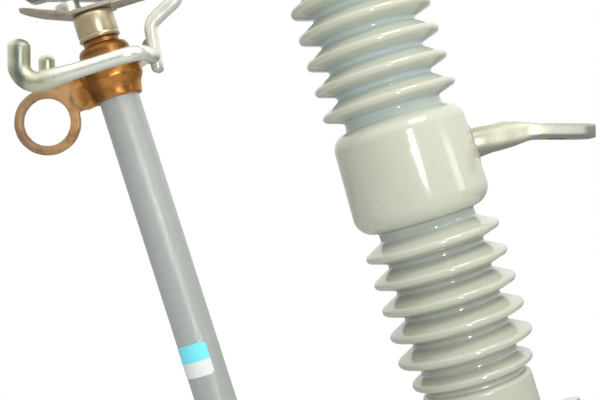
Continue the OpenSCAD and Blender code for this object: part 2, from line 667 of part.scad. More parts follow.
// Lower ferrule: a split clamp on the tube, with the trunnion behind it and ears for the lever below
module lower_ferrule() color(bronze) along_tube() difference() {
    union() {
        translate([0, 0, clamp_low]) cylinder(d = clamp_d, h = clamp_high - clamp_low, $fn = 64);
        translate([-clamp_d / 2 - ear_l, -ear_w / 2, clamp_low + 5])
            cube([ear_l + clamp_d / 2 - tube_d / 2, ear_w, clamp_high - clamp_low - 10]);
        translate([0, -hub_w / 2, trunnion_z - 3]) cube([hinge_back, hub_w, 22]);
        translate([hinge_back, 0, trunnion_z]) rotate([90, 0, 0])
            cylinder(d = hub_d, h = hub_w, center = true, $fn = 48);
        translate([hinge_back, 0, trunnion_z]) rotate([90, 0, 0])
            cylinder(d = trunnion_d, h = 2 * pin_reach, center = true, $fn = 48);
        for (side = [-1, 1])
            translate([lever_u - 5.5, side * lever_ear_y - lever_ear_t / 2, lever_pin_z - 5.5])
                cube([11, lever_ear_t, trunnion_z - lever_pin_z + 5.5]);
    }
    translate([0, 0, clamp_low - 30])
        cylinder(d = tube_d + 2 * glue, h = clamp_high - clamp_low + 60, $fn = 64);
    translate([-clamp_d / 2 - ear_l - 1, -ear_slit / 2, clamp_low - 1])
        cube([ear_l + clamp_d / 2, ear_slit, clamp_high - clamp_low + 2]);
    for (z = screw_zs) translate([-clamp_d / 2 - ear_l / 2, 0, z]) rotate([90, 0, 0])
        cylinder(d = screw_d, h = 2 * ear_w, center = true, $fn = 32);
    translate([lever_u, 0, lever_pin_z]) rotate([90, 0, 0])
        cylinder(d = lever_pin_d, h = 2 * hub_w, center = true, $fn = 32);
}

module ferrule_screws() color(zinc) along_tube() for (z = screw_zs)
    translate([-clamp_d / 2 - ear_l / 2, 0, z]) rotate([90, 0, 0]) {
        cylinder(d = screw_d, h = ear_w, center = true, $fn = 32);
        translate([0, 0, ear_w / 2]) cylinder(d = 2 * screw_d, h = screw_d, $fn = 6);
        translate([0, 0, -ear_w / 2 - screw_d]) cylinder(d = 2 * screw_d, h = screw_d, $fn = 6);
    }

// Lever under the trunnion, which the fuse link holds back
module link_lever() color(bronze) along_tube() difference() {
    union() {
        across(lever_w) strip([[lever_u, lever_pin_z], [lever_u, lever_pin_z - 0.7 * lever_len],
            [lever_u - 0.2 * lever_len, lever_pin_z - lever_len]], lever_t);
        translate([lever_u, 0, lever_pin_z]) rotate([90, 0, 0])
            cylinder(d = lever_pin_d + 6, h = lever_w + 1, center = true, $fn = 32);
    }
    translate([lever_u, 0, lever_pin_z]) rotate([90, 0, 0])
        cylinder(d = lever_pin_d, h = 2 * lever_w, center = true, $fn = 32);
}

module lever_pin() color(zinc) along_tube() translate([lever_u, 0, lever_pin_z]) rotate([90, 0, 0])
    cylinder(d = lever_pin_d, h = 2 * lever_ear_y + lever_ear_t + 2, center = true, $fn = 32);

// Coil of the lever's spring, round the pin between the lever and an ear
module lever_spring() color(zinc) along_tube()
    translate([lever_u, lever_w / 2 + 0.8, lever_pin_z]) rotate([-90, 0, 0]) difference() {
        cylinder(d = lever_pin_d + 5, h = lever_ear_y - lever_ear_t / 2 - lever_w / 2 - 1.1, $fn = 32);
        translate([0, 0, -1]) cylinder(d = lever_pin_d + 0.4, h = hub_w, $fn = 32);
    }

// Stud and nut that hold the fuse link's tail, between the clamp's screws
module link_nut() color(bronze) along_tube()
    translate([-clamp_d / 2 - ear_l, 0, (screw_zs[0] + screw_zs[1]) / 2]) rotate([0, -90, 0]) {
        cylinder(d = 16, h = 2, $fn = 32);
        translate([0, 0, 2]) cylinder(d = 13 / cos(30), h = 6, $fn = 6);
        cylinder(d = 8, h = 12, $fn = 32);
    }

insulator();
strap_grout();
mounting_strap();
top_cement();
top_stud();
top_nut();
top_support();
contact_plate();
contact_stud();
backup_spring();
spring_rivets();
hook_strut();
hook_left();
hook_right();
strut_bolts();
top_terminal();
top_eyebolt();
top_terminal_nut();
bottom_cement();
bottom_stud();
bottom_nut();
bottom_support();
hinge_web();
cheek_left();
cheek_right();
hinge_bolts();
bottom_terminal();
bottom_eyebolt();
bottom_terminal_nut();
fuse_tube();
upper_ferrule();
tube_cap();
tube_label();
lower_ferrule();
ferrule_screws();
link_lever();
lever_pin();
lever_spring();
link_nut();
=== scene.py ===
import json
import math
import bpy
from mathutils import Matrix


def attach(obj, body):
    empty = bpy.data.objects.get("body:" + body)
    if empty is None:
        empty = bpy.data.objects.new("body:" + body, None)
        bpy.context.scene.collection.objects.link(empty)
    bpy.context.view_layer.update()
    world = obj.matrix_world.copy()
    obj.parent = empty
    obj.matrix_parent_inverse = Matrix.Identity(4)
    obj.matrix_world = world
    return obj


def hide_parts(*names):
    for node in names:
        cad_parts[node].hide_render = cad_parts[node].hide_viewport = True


bl_info = {
    "name": "Fuse Cutout",
    "version": (1, 0, 0),
    "blender": (4, 5, 0),
    "location": "View3D > Sidebar > Cutout",
    "description": "Makes an open distribution fuse cutout and the stage it is shown on",
    "category": "Add Mesh",
}

import bmesh
import bpy
from bpy.props import FloatProperty, FloatVectorProperty, IntProperty, PointerProperty
from mathutils import Matrix, Vector, noise

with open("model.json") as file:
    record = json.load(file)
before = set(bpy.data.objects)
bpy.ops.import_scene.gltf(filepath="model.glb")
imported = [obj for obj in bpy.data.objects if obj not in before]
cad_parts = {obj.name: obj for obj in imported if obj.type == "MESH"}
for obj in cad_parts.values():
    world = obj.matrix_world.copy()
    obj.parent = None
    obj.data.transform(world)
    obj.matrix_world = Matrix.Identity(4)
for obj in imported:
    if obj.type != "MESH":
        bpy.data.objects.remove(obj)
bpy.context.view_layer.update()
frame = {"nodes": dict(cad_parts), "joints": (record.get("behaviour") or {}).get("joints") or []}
NODES = frame["nodes"]
FIXED = "cutout"
SWINGING = "fuse_holder"


# ---- sizes

def length(name, description, default):
    return FloatProperty(name=name, description=description, default=default,
                         min=0.0, unit="LENGTH", precision=4)


def angle(name, description, default):
    return FloatProperty(name=name, description=description, default=math.radians(default),
                         unit="ROTATION")


def amount(name, description, default, least):
    return IntProperty(name=name, description=description, default=default, min=least)


def tint(name, description, default):
    return FloatVectorProperty(name=name, description=description, default=default,
                               subtype="COLOR", size=3, min=0.0, max=1.0)


class InsulatorSizes(bpy.types.PropertyGroup):
    lean: angle("Lean", "Forward lean of the insulator", 17.2)
    reach: length("Reach", "From the collar's axis to the strap's bolt hole", 0.100)
    drop: length("Drop", "From the strap's top face down to the collar's centre", 0.030)
    core_d: length("Core", "Diameter of the porcelain between the sheds", 0.067)
    shed_d: length("Sheds", "Diameter over the sheds", 0.0936)
    end_shed_d: length("End sheds", "Diameter of the last shed at each end", 0.084)
    pitch: length("Pitch", "Distance from one shed to the next", 0.0186)
    end_pitch: length("End pitch", "Distance to the last shed", 0.0172)
    sheds: amount("Count", "Sheds above the collar, and as many below it", 6, 2)
    collar_h: length("Collar", "Height of the middle collar", 0.072)
    collar_gap: length("Collar gap", "From the collar to the root of the shed beside it", 0.0064)
    collar_top_d: length("Collar top", "Diameter of the collar near its top", 0.0916)
    collar_bottom_d: length("Collar bottom", "Diameter of the collar near its bottom", 0.0944)
    end_d: length("End band", "Diameter of the plain band at each end", 0.076)
    end_h: length("End band height", "Height of the plain band at each end", 0.046)
    end_gap: length("End gap", "From the last shed's root to the end band", 0.003)
    socket_d: length("Socket", "Diameter of the cemented socket at each end", 0.044)
    socket_depth: length("Socket depth", "Depth of the cemented socket at each end", 0.046)
    segments: amount("Segments", "Faces round the insulator", 128, 24)


class StrapSizes(bpy.types.PropertyGroup):
    pad_t: length("Pad thickness", "Thickness of the flat pad", 0.0095)
    pad_w: length("Pad width", "Width of the flat pad", 0.038)
    pad_end: length("Pad end", "From the bolt hole to the end of the pad", 0.0233)
    pad_corner: length("Pad corner", "Radius of the pad's corners", 0.008)
    hole_d: length("Bolt hole", "Diameter of the bolt hole", 0.0143)
    shank_h: length("Shank", "Height of the shank where it leaves the collar", 0.0215)
    shank_w: length("Shank width", "Width of the shank where it leaves the collar", 0.0205)
    shank_rise: length("Shank rise", "Height of the shank's axis over the collar's centre", 0.0037)


class HookSizes(bpy.types.PropertyGroup):
    rod_d: length("Rod", "Diameter of the hooks' arms", 0.0102)
    left_tip_d: length("Left tip", "Diameter of the left hook's tip", 0.0146)
    right_tip_d: length("Right tip", "Diameter of the right hook's tip", 0.0116)
    spread: length("Spread", "From the middle plane to each hook", 0.039)
    front: length("Front", "From the tube's axis forward to each hook's turn", 0.039)
    rear: length("Rear", "From the tube's axis back to where the arms turn in", 0.028)
    turn_r: length("Turn", "Radius of the turn under each tip", 0.0115)
    rear_turn_r: length("Rear turn", "Radius of the turn towards the strut", 0.014)
    right_rise: length("Right rise", "How far the right arm climbs to the strut", 0.009)
    strut_w: length("Strut width", "Width of the strut", 0.016)
    strut_t: length("Strut thickness", "Thickness of the strut", 0.008)
    strut_gap: length("Strut gap", "From the insulator to the strut's foot", 0.0095)
    strut_foot: length("Strut foot", "Length of the strut's foot under the bar", 0.0485)
    sides: amount("Sides", "Faces round each rod", 32, 8)


class HolderSizes(bpy.types.PropertyGroup):
    arm: length("Arm", "From the insulator's axis to the tube's axis", 0.175)
    tilt: angle("Tilt", "Lean of the tube beyond the insulator's", 0.55)
    hook_z: length("Hook height", "Height of the hooks' arms along the lean", 0.124323)
    tube_d: length("Tube", "Outer diameter of the fuse tube", 0.0276)
    bore_d: length("Bore", "Bore of the fuse tube", 0.016)
    tube_up: length("Tube top", "The tube's upper end above the hooks' arms", 0.0117)
    tube_down: length("Tube foot", "The tube's lower end below the trunnion", 0.009)
    cap_d: length("Cap", "Diameter of the cap", 0.028)
    cap_foot: length("Cap foot", "The cap's foot above the hooks' arms", 0.0217)
    cap_h: length("Cap height", "Height of the cap", 0.019)
    label_h: length("Label height", "Height of the label", 0.0225)
    trunnion_d: length("Trunnion", "Diameter of the trunnion's pins", 0.014)
    trunnion_up: length("Trunnion height", "The trunnion above the insulator's lower end", 0.023)
    ring_d: length("Ring", "Hole of the pull ring", 0.0322)
    ring_rim: length("Ring rim", "Width of the pull ring's rim", 0.0065)
    ring_reach: length("Ring reach", "From the tube's axis to the ring's centre", 0.0514)
    ring_drop: length("Ring drop", "The ring's centre below the hooks' arms", 0.0207)


class Colours(bpy.types.PropertyGroup):
    glaze: tint("Glaze", "Pale glaze over the crests and the collar", (0.575, 0.580, 0.467))
    # this blue-grey also stands in for painted shade and cool reflection between the sheds
    valley_glaze_and_shade: tint("Deep glaze", "Glaze where it lies thick between the sheds", (0.500, 0.580, 0.565))
    zinc: tint("Zinc", "Hot-dip galvanised steel", (0.750, 0.760, 0.680))
    bronze: tint("Bronze", "Cast bronze of the ferrules", (0.590, 0.255, 0.060))
    plating: tint("Plating", "Dull plating of the cap", (0.590, 0.495, 0.330))
    contact: tint("Contact", "Tarnished plated copper of the contact", (0.490, 0.440, 0.355))
    tube: tint("Tube", "Grey coat of the fuse tube", (0.400, 0.425, 0.400))
    band: tint("Label band", "Coloured band of the label", (0.210, 0.860, 0.960))
    paper: tint("Label", "Ground of the label", (0.840, 0.850, 0.830))
    cement: tint("Cement", "Cement and grout", (0.420, 0.400, 0.345))
    floor: tint("Floor", "Floor of the stage", (0.76, 0.76, 0.75))


class CutoutSettings(bpy.types.PropertyGroup):
    insulator: PointerProperty(type=InsulatorSizes, name="Insulator")
    strap: PointerProperty(type=StrapSizes, name="Mounting strap")
    hooks: PointerProperty(type=HookSizes, name="Hooks")
    holder: PointerProperty(type=HolderSizes, name="Fuse holder")
    colours: PointerProperty(type=Colours, name="Colours")


def sizes(group):
    return getattr(bpy.context.scene.cutout, group)


def colour_of(name, share=1.0):
    return tuple(share * v for v in getattr(sizes("colours"), name))


# Lengths that more than one piece is set out from, in metres
BAR_T = 0.006
LABEL_LOW = -0.0915
CLAMP_SCREWS = (-0.165816, -0.147816)
SHED_TIP_R = 0.003
SHED_ROOT_R = 0.0024
SHED_ABOVE = math.radians(28)
SHED_UNDER = math.radians(18)


# ---- node trees

def arithmetic(operation, swapped=False):
    """An operator of a Wire, or its reflected form."""
    def run(self, other):
        return self.nodes.math(operation, *((other, self) if swapped else (self, other)))
    return run


class Wire:
    """An output socket. Arithmetic on it adds Math nodes to its tree."""

    def __init__(self, nodes, socket):
        self.nodes = nodes
        self.socket = socket

    __add__ = __radd__ = arithmetic("ADD")
    __sub__ = arithmetic("SUBTRACT")
    __rsub__ = arithmetic("SUBTRACT", True)
    __mul__ = __rmul__ = arithmetic("MULTIPLY")
    __truediv__ = arithmetic("DIVIDE")
    __rtruediv__ = arithmetic("DIVIDE", True)

    def __neg__(self):
        return self * -1.0


class Nodes:
    """A node tree with one way to add any node to it."""

    def __init__(self, tree):
        self.tree = tree

    def add(self, kind, settings=None, inputs=None, output=0):
        """Adds a node, sets it, feeds its inputs and returns one of its outputs."""
        node = self.tree.nodes.new(kind)
        for name, value in (settings or {}).items():
            setattr(node, name, value)
        for name, value in (inputs or {}).items():
            self.feed(node.inputs[name], value)
        return Wire(self, node.outputs[output]) if node.outputs else None

    def feed(self, socket, value):
        if isinstance(value, Wire):
            self.tree.links.new(value.socket, socket)
        elif socket.type == "RGBA" and len(value) == 3:
            socket.default_value = (*value, 1.0)
        else:
            socket.default_value = value

    def math(self, operation, *values):
        return self.add("ShaderNodeMath", {"operation": operation}, dict(enumerate(values)))

    def vector(self, operation, *values, output=0):
        return self.add("ShaderNodeVectorMath", {"operation": operation},
                        dict(enumerate(values)), output)

    def scaled(self, vector, amount):
        return self.add("ShaderNodeVectorMath", {"operation": "SCALE"}, {0: vector, "Scale": amount})

    def part(self, vector, axis):
        return self.add("ShaderNodeSeparateXYZ", None, {0: vector}, axis)

    def step(self, value, low, high, **to):
        """0 below low, 1 above high, and smooth between them."""
        return self.add("ShaderNodeMapRange", {"interpolation_type": "SMOOTHSTEP"},
                        {"Value": value, "From Min": low, "From Max": high, **to})


class Finish(Nodes):
    """A material on a Principled shader, with patterns in metres on Object coordinates."""

    def __init__(self, name, **constants):
        self.material = bpy.data.materials.new(name)
        self.material.use_nodes = True
        super().__init__(self.material.node_tree)
        self.tree.nodes.clear()
        shader = self.add("ShaderNodeBsdfPrincipled")
        self.add("ShaderNodeOutputMaterial", None, {0: shader})
        self.sockets = shader.socket.node.inputs
        self.place = self.add("ShaderNodeTexCoord", output="Object")
        self.surface(**constants)

    def surface(self, **values):
        """Sets or links the shader's inputs and returns the material."""
        for socket, value in values.items():
            self.feed(self.sockets[socket.replace("_", " ")], value)
        return self.material

    def noise(self, size, detail=3.0, roughness=0.5, distortion=0.0, place=None, output=0):
        """Noise whose features are about size metres across."""
        return self.add("ShaderNodeTexNoise", None,
                        {"Vector": place or self.place, "Scale": 1.0 / size, "Detail": detail,
                         "Roughness": roughness, "Distortion": distortion}, output)

    def bands(self, height, detail=2.0, roughness=0.5):
        """Noise in one direction only."""
        return self.add("ShaderNodeTexNoise", {"noise_dimensions": "1D"},
                        {"W": height, "Detail": detail, "Roughness": roughness})

    def patches(self, low, high, *noise, place=None):
        """Noise of the given size, detail and roughness, as patches where it passes low to high."""
        return self.step(self.noise(*noise, place=place), low, high)

    def cells(self, size, feature="F1", place=None, output=0):
        return self.add("ShaderNodeTexVoronoi", {"feature": feature},
                        {"Vector": place or self.place, "Scale": 1.0 / size}, output)

    def blend(self, factor, a, b, mode="MIX"):
        """Colour a where factor is 0 and b where it is 1."""
        return self.add("ShaderNodeMix", {"data_type": "RGBA", "blend_type": mode},
                        {0: factor, 6: a, 7: b}, 2)

    def coats(self, colour, *layers):
        """A colour under layers of (factor, colour), the lowest first."""
        for factor, over in layers:
            colour = self.blend(factor, colour, over)
        return colour

    def bumps(self, *layers):
        """Layers of (height, distance, strength), the finest first."""
        below = {}
        for height, distance, strength in reversed(layers):
            below = {"Normal": self.add("ShaderNodeBump", None, {
                "Height": height, "Distance": distance, "Strength": strength, **below})}
        return below["Normal"]

    def stretched(self, scale, turn=(0.0, 0.0, 0.0)):
        return self.add("ShaderNodeMapping", {"vector_type": "TEXTURE"},
                        {"Vector": self.place, "Rotation": turn, "Scale": scale})

    def along(self, place, origin, axis):
        """Distance from an origin along an axis, both in a place's own frame."""
        offset = self.vector("SUBTRACT", self.place, tuple(place @ Vector(origin)))
        return self.vector("DOT_PRODUCT", offset, tuple(place.to_3x3() @ Vector(axis)), output="Value")

    def about(self, place, z=0.0):
        """Height above z along a place's own Z axis, and distance from that axis."""
        axis = tuple(place.to_3x3() @ Vector((0, 0, 1)))
        height = self.along(place, (0, 0, z), (0, 0, 1))
        offset = self.vector("SUBTRACT", self.place, tuple(place @ Vector((0, 0, z))))
        across = self.vector("SUBTRACT", offset, self.scaled(axis, height))
        return height, self.vector("LENGTH", across, output="Value")


class Maker(Nodes):
    """A geometry node tree with named inputs, which ends in Realize Instances and Set Material."""

    KINDS = {float: "NodeSocketFloat", int: "NodeSocketInt", tuple: "NodeSocketVector",
             bpy.types.Object: "NodeSocketObject", bpy.types.Material: "NodeSocketMaterial"}

    def __init__(self, name, **inputs):
        super().__init__(bpy.data.node_groups.new(name, "GeometryNodeTree"))
        self.names = {}
        face = self.tree.interface
        face.new_socket("Geometry", in_out="INPUT", socket_type="NodeSocketGeometry")
        for label, kind in {**inputs, "Material": bpy.types.Material}.items():
            item = face.new_socket(label, in_out="INPUT", socket_type=self.KINDS[kind])
            self.names[label] = item.identifier
        face.new_socket("Geometry", in_out="OUTPUT", socket_type="NodeSocketGeometry")
        self.entry = self.add("NodeGroupInput").socket.node

    def given(self, label):
        return Wire(self, self.entry.outputs[label])

    def finished(self, geometry):
        real = self.add("GeometryNodeRealizeInstances", None, {"Geometry": geometry})
        done = self.add("GeometryNodeSetMaterial", None, {
            "Geometry": real, "Material": self.given("Material")})
        self.add("NodeGroupOutput", None, {0: done})
        return self

    def circle(self, sides, radius):
        return self.add("GeometryNodeCurvePrimitiveCircle", {"mode": "RADIUS"},
                        {"Resolution": sides, "Radius": radius})

    def make(self, name, source, place=None, **values):
        """Runs the tree on source and returns the result as a plain mesh object at the origin."""
        carrier = placed(name + "_maker", source)
        modifier = carrier.modifiers.new("Maker", "NODES")
        modifier.node_group = self.tree
        for label, value in values.items():
            modifier[self.names[label]] = value
        mesh = evaluated(carrier)
        bpy.data.objects.remove(carrier)
        return piece(name, mesh, place, values["Material"])


def turning():
    """Turns a profile about the Z axis. The profile's points hold radius in X and height in Z."""
    tree = Maker("Turned body", Segments=int, Rows=int)
    columns = tree.given("Segments") + 1
    grid = tree.add("GeometryNodeMeshGrid", None, {
        "Size X": 1.0, "Size Y": 1.0, "Vertices X": tree.given("Rows"), "Vertices Y": columns})
    index = tree.add("GeometryNodeInputIndex")
    row = tree.math("FLOOR", (index + 0.5) / columns)
    turn = (index - row * columns) / tree.given("Segments") * math.tau
    point = tree.add("GeometryNodeSampleIndex", {"data_type": "FLOAT_VECTOR", "domain": "POINT"},
                     {"Geometry": tree.given("Geometry"), "Index": row,
                      "Value": tree.add("GeometryNodeInputPosition")})
    radius = tree.part(point, "X")
    place = tree.add("ShaderNodeCombineXYZ", None, {
        "X": radius * tree.math("COSINE", turn), "Y": radius * tree.math("SINE", turn),
        "Z": tree.part(point, "Z")})
    moved = tree.add("GeometryNodeSetPosition", None, {"Geometry": grid, "Position": place})
    return tree.finished(tree.add("GeometryNodeMergeByDistance", None, {
        "Geometry": moved, "Distance": 1e-6}))


def rod():
    """Sweeps a round rod along a curve, as thick as the curve's radius says, with a cast surface."""
    tree = Maker("Rod along a path", Sides=int, Grain=float, Grain_size=float)
    tube = tree.add("GeometryNodeCurveToMesh", None, {
        "Curve": tree.given("Geometry"), "Profile Curve": tree.circle(tree.given("Sides"), 1.0),
        "Scale": tree.add("GeometryNodeInputRadius"), "Fill Caps": True})
    texture = tree.add("ShaderNodeTexNoise", None, {
        "Scale": 1.0 / tree.given("Grain_size"), "Detail": 2.0})
    push = tree.scaled(tree.add("GeometryNodeInputNormal"), (texture - 0.5) * tree.given("Grain"))
    return tree.finished(tree.add("GeometryNodeSetPosition", None, {
        "Geometry": tube, "Offset": push}))


def coil():
    """Winds a wire round the Z axis."""
    tree = Maker("Coil", Turns=float, Radius=float, Height=float, Wire_radius=float, Sides=int)
    spiral = tree.add("GeometryNodeCurveSpiral", None, {
        "Resolution": 24, "Rotations": tree.given("Turns"), "Start Radius": tree.given("Radius"),
        "End Radius": tree.given("Radius"), "Height": tree.given("Height")})
    return tree.finished(tree.add("GeometryNodeCurveToMesh", None, {
        "Curve": spiral, "Fill Caps": True,
        "Profile Curve": tree.circle(tree.given("Sides"), tree.given("Wire_radius"))}))


def setting_out():
    """Puts a fastener on each point, each turned further about its own axis than the last."""
    tree = Maker("Fasteners set out", Fastener=bpy.types.Object, Turn=tuple, Spin=float)
    model = tree.add("GeometryNodeObjectInfo", {"transform_space": "ORIGINAL"},
                     {"Object": tree.given("Fastener")}, "Geometry")
    index = tree.add("GeometryNodeInputIndex")
    spin = tree.add("FunctionNodeEulerToRotation", None, {
        0: tree.add("ShaderNodeCombineXYZ", None, {"Z": index * tree.given("Spin")})})
    turn = tree.add("FunctionNodeEulerToRotation", None, {0: tree.given("Turn")})
    both = tree.add("FunctionNodeRotateRotation", {"rotation_space": "LOCAL"},
                    {"Rotation": turn, "Rotate By": spin})
    points = tree.add("GeometryNodeMeshToPoints", None, {"Mesh": tree.given("Geometry")})
    return tree.finished(tree.add("GeometryNodeInstanceOnPoints", None, {
        "Points": points, "Instance": model, "Rotation": both}))


made = {}


def once(build):
    """What build() returns, built only the first time."""
    if build not in made:
        made[build] = build()
    return made[build]


# ---- places

def shift(x, y, z):
    return Matrix.Translation((x, y, z))


def turn_about(axis, turn):
    return Matrix.Rotation(turn, 4, axis)


def lean_frame():
    """From heights and distances along the insulator to the cutout's own frame."""
    s = sizes("insulator")
    return shift(-s.reach, 0, -s.drop) @ turn_about("Y", -s.lean)


def tube_frame():
    h = sizes("holder")
    return (lean_frame() @ shift(-h.arm, 0, h.hook_z) @ turn_about("Y", -h.tilt)
            @ shift(0, 0, -h.hook_z))


def shed_reach(d, slope):
    """Height between a shed's tip and its root on the side with the given slope."""
    flat = d / 2 - SHED_TIP_R * (1 - math.sin(slope)) - sizes("insulator").core_d / 2
    return SHED_TIP_R * math.cos(slope) + flat * math.tan(slope)


def stack_heights():
    """Heights along the lean: the lowest and highest shed beside the collar, and both ends."""
    s = sizes("insulator")
    from_collar = s.collar_h / 2 + s.collar_gap
    first_up = from_collar + shed_reach(s.shed_d, SHED_UNDER)
    first_down = -from_collar - shed_reach(s.shed_d, SHED_ABOVE)
    last = (s.sheds - 2) * s.pitch + s.end_pitch
    top = first_up + last + shed_reach(s.end_shed_d, SHED_ABOVE) + s.end_gap + s.end_h
    bottom = first_down - last - shed_reach(s.end_shed_d, SHED_UNDER) - s.end_gap - s.end_h
    return first_up, first_down, top, bottom


def at_bottom():
    """The lean's frame mirrored from the insulator's top end to its bottom end."""
    top, bottom = stack_heights()[2:]
    return lean_frame() @ shift(0, 0, top + bottom) @ Matrix.Scale(-1, 4, (0, 0, 1))


def trunnion_z():
    return stack_heights()[3] + sizes("holder").trunnion_up


# ---- meshes

class Editing:
    """A bmesh of a mesh, which is written back at the end of the block."""

    def __init__(self, mesh):
        self.mesh = mesh
        self.work = bmesh.new()
        self.work.from_mesh(mesh)

    def __enter__(self):
        return self.work

    def __exit__(self, *failure):
        self.work.to_mesh(self.mesh)
        self.work.free()


def placed(name, data):
    found = bpy.data.objects.new(name, data)
    bpy.context.scene.collection.objects.link(found)
    return found


def evaluated(shown):
    """The mesh of an object with its modifiers applied."""
    bpy.context.view_layer.update()
    graph = bpy.context.evaluated_depsgraph_get()
    return bpy.data.meshes.new_from_object(shown.evaluated_get(graph), depsgraph=graph)


def piece(name, mesh, place=None, material=None):
    """A mesh object at the origin, with its place in its mesh."""
    mesh.name = name
    if place is not None:
        mesh.transform(place)
        if place.determinant() < 0:
            with Editing(mesh) as work:
                bmesh.ops.recalc_face_normals(work, faces=work.faces)
    paint(mesh, material)
    return placed(name, mesh)


def paint(mesh, material):
    mesh.materials.clear()
    mesh.materials.append(material)


def settle(shown, body, *nodes, sharp=None):
    """Puts a finished piece on its body, in place of its CAD nodes, smooth below a sharp angle."""
    if sharp:
        smooth(shown, sharp)
    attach(shown, body)
    if nodes:
        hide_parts(*nodes)
    return shown


def smooth(shown, sharp=40):
    shown.data.shade_smooth()
    shown.data.set_sharp_from_angle(angle=math.radians(sharp))
    return shown


def modified(shown, kind, **settings):
    """Applies a modifier to a piece."""
    modifier = shown.modifiers.new(kind, kind)
    for name, value in settings.items():
        setattr(modifier, name, value)
    mesh, old = evaluated(shown), shown.data
    shown.modifiers.clear()
    shown.data = mesh
    bpy.data.meshes.remove(old)
    mesh.name = shown.name
    return shown


def grain(shown, amount, size, seed=0.0):
    """Moves a mesh's points in and out by a soft noise."""
    mesh = shown.data
    moves = [noise.noise(v.co / size + Vector((seed, 0, 0))) * amount * v.normal
             for v in mesh.vertices]
    for vertex, move in zip(mesh.vertices, moves):
        vertex.co += move


def copied(name, node, material):
    """A piece with a CAD node's shape, its points joined."""
    mesh = NODES[node].data.copy()
    with Editing(mesh) as work:
        bmesh.ops.remove_doubles(work, verts=work.verts, dist=2e-6)
    if mesh.attributes.get("custom_normal"):
        mesh.attributes.remove(mesh.attributes["custom_normal"])
    return piece(name, mesh, None, material)


def cast(name, node, body, material, voxel=0.0007, passes=8, rough=0.00012, rough_size=0.004,
         shaped=None):
    """A casting or forging: a CAD node's copy, its corners rounded and its faces a little uneven."""
    shown = copied(name, node, material)
    modified(shown, "REMESH", mode="VOXEL", voxel_size=voxel)
    modified(shown, "SMOOTH", factor=0.5, iterations=passes)
    if shaped:
        for vertex in shown.data.vertices:
            vertex.co = shaped(vertex.co)
    grain(shown, rough, rough_size)
    shown.data.shade_smooth()
    paint(shown.data, material)
    return settle(shown, body, node)


def machined(name, node, body, material, edge=0.0007, steps=2):
    """A machined or pressed piece: a CAD node's copy with its sharp edges broken."""
    shown = copied(name, node, material)
    with Editing(shown.data) as work:
        bmesh.ops.dissolve_limit(work, angle_limit=math.radians(0.6), verts=work.verts,
                                 edges=work.edges)
    modified(shown, "BEVEL", limit_method="ANGLE", angle_limit=math.radians(38), width=edge,
             segments=steps, use_clamp_overlap=True)
    paint(shown.data, material)
    return settle(shown, body, node, sharp=35)


def polar(r, turn):
    return r * math.cos(turn), r * math.sin(turn)


def arc(x, z, r, start, end, steps):
    """Points on an arc, with angles in degrees."""
    points = (polar(r, math.radians(start + (end - start) * i / steps)) for i in range(steps + 1))
    return [(x + u, z + v) for u, v in points]


def level_ring(r, z, count):
    return [(*polar(r, math.tau * k / count), z) for k in range(count)]


def skin(name, rings, closed=False):
    """A mesh through rings of as many points: with flat ends, or closed from the last to the first."""
    mesh = bpy.data.meshes.new(name)
    with Editing(mesh) as work:
        rings = [[work.verts.new(point) for point in ring] for ring in rings]
        for a, b in zip(rings, rings[1:] + (rings[:1] if closed else [])):
            for i in range(len(a)):
                on = (i + 1) % len(a)
                work.faces.new((a[i], a[on], b[on], b[i]))
        if not closed:
            work.faces.new(list(reversed(rings[0])))
            work.faces.new(rings[-1])
        bmesh.ops.recalc_face_normals(work, faces=work.faces)
    return mesh


def turned_mesh(profile, segments=40, closed=False):
    """A small turned body as a plain mesh."""
    return skin("turned", [level_ring(r, z, segments) for r, z in profile], closed)


def turned(name, profile, material, place, segments):
    """A body turned from (radius, height) points."""
    mesh = bpy.data.meshes.new(name + "_profile")
    mesh.from_pydata([(r, 0, z) for r, z in profile],
                     [(i, i + 1) for i in range(len(profile) - 1)], [])
    shown = once(turning).make(name, mesh, place, Segments=segments, Rows=len(profile),
                               Material=material)
    with Editing(shown.data) as work:
        bmesh.ops.remove_doubles(work, verts=work.verts, dist=1e-7)
        bmesh.ops.recalc_face_normals(work, faces=work.faces)
    return smooth(shown)


def loft(name, sections, material, place=None):
    """A piece whose skin passes through sections."""
    return piece(name, skin(name, sections), place, material)


def round_section(width, height, power, count=32):
    """A ring of (across, up) points: an ellipse at power 2, nearer a rectangle as it rises."""
    ring = []
    for k in range(count):
        c, s = polar(1, math.tau * (k + 0.5) / count)
        reach = (abs(c) ** power + abs(s) ** power) ** (-1 / power) / 2
        ring.append((c * reach * width, s * reach * height))
    return ring


def eased(a, b, t):
    return a + (b - a) * t * t * (3 - 2 * t)


def in_steps(rows, step, run):
    """Rows of numbers with more rows between them, about a step apart by run(row)."""
    fine = []
    for a, b in zip(rows, rows[1:]):
        steps = max(1, int((run(b) - run(a)) / step))
        fine += [tuple(u + (v - u) * k / steps for u, v in zip(a, b)) for k in range(steps)]
    return fine + [rows[-1]]


# ---- finishes

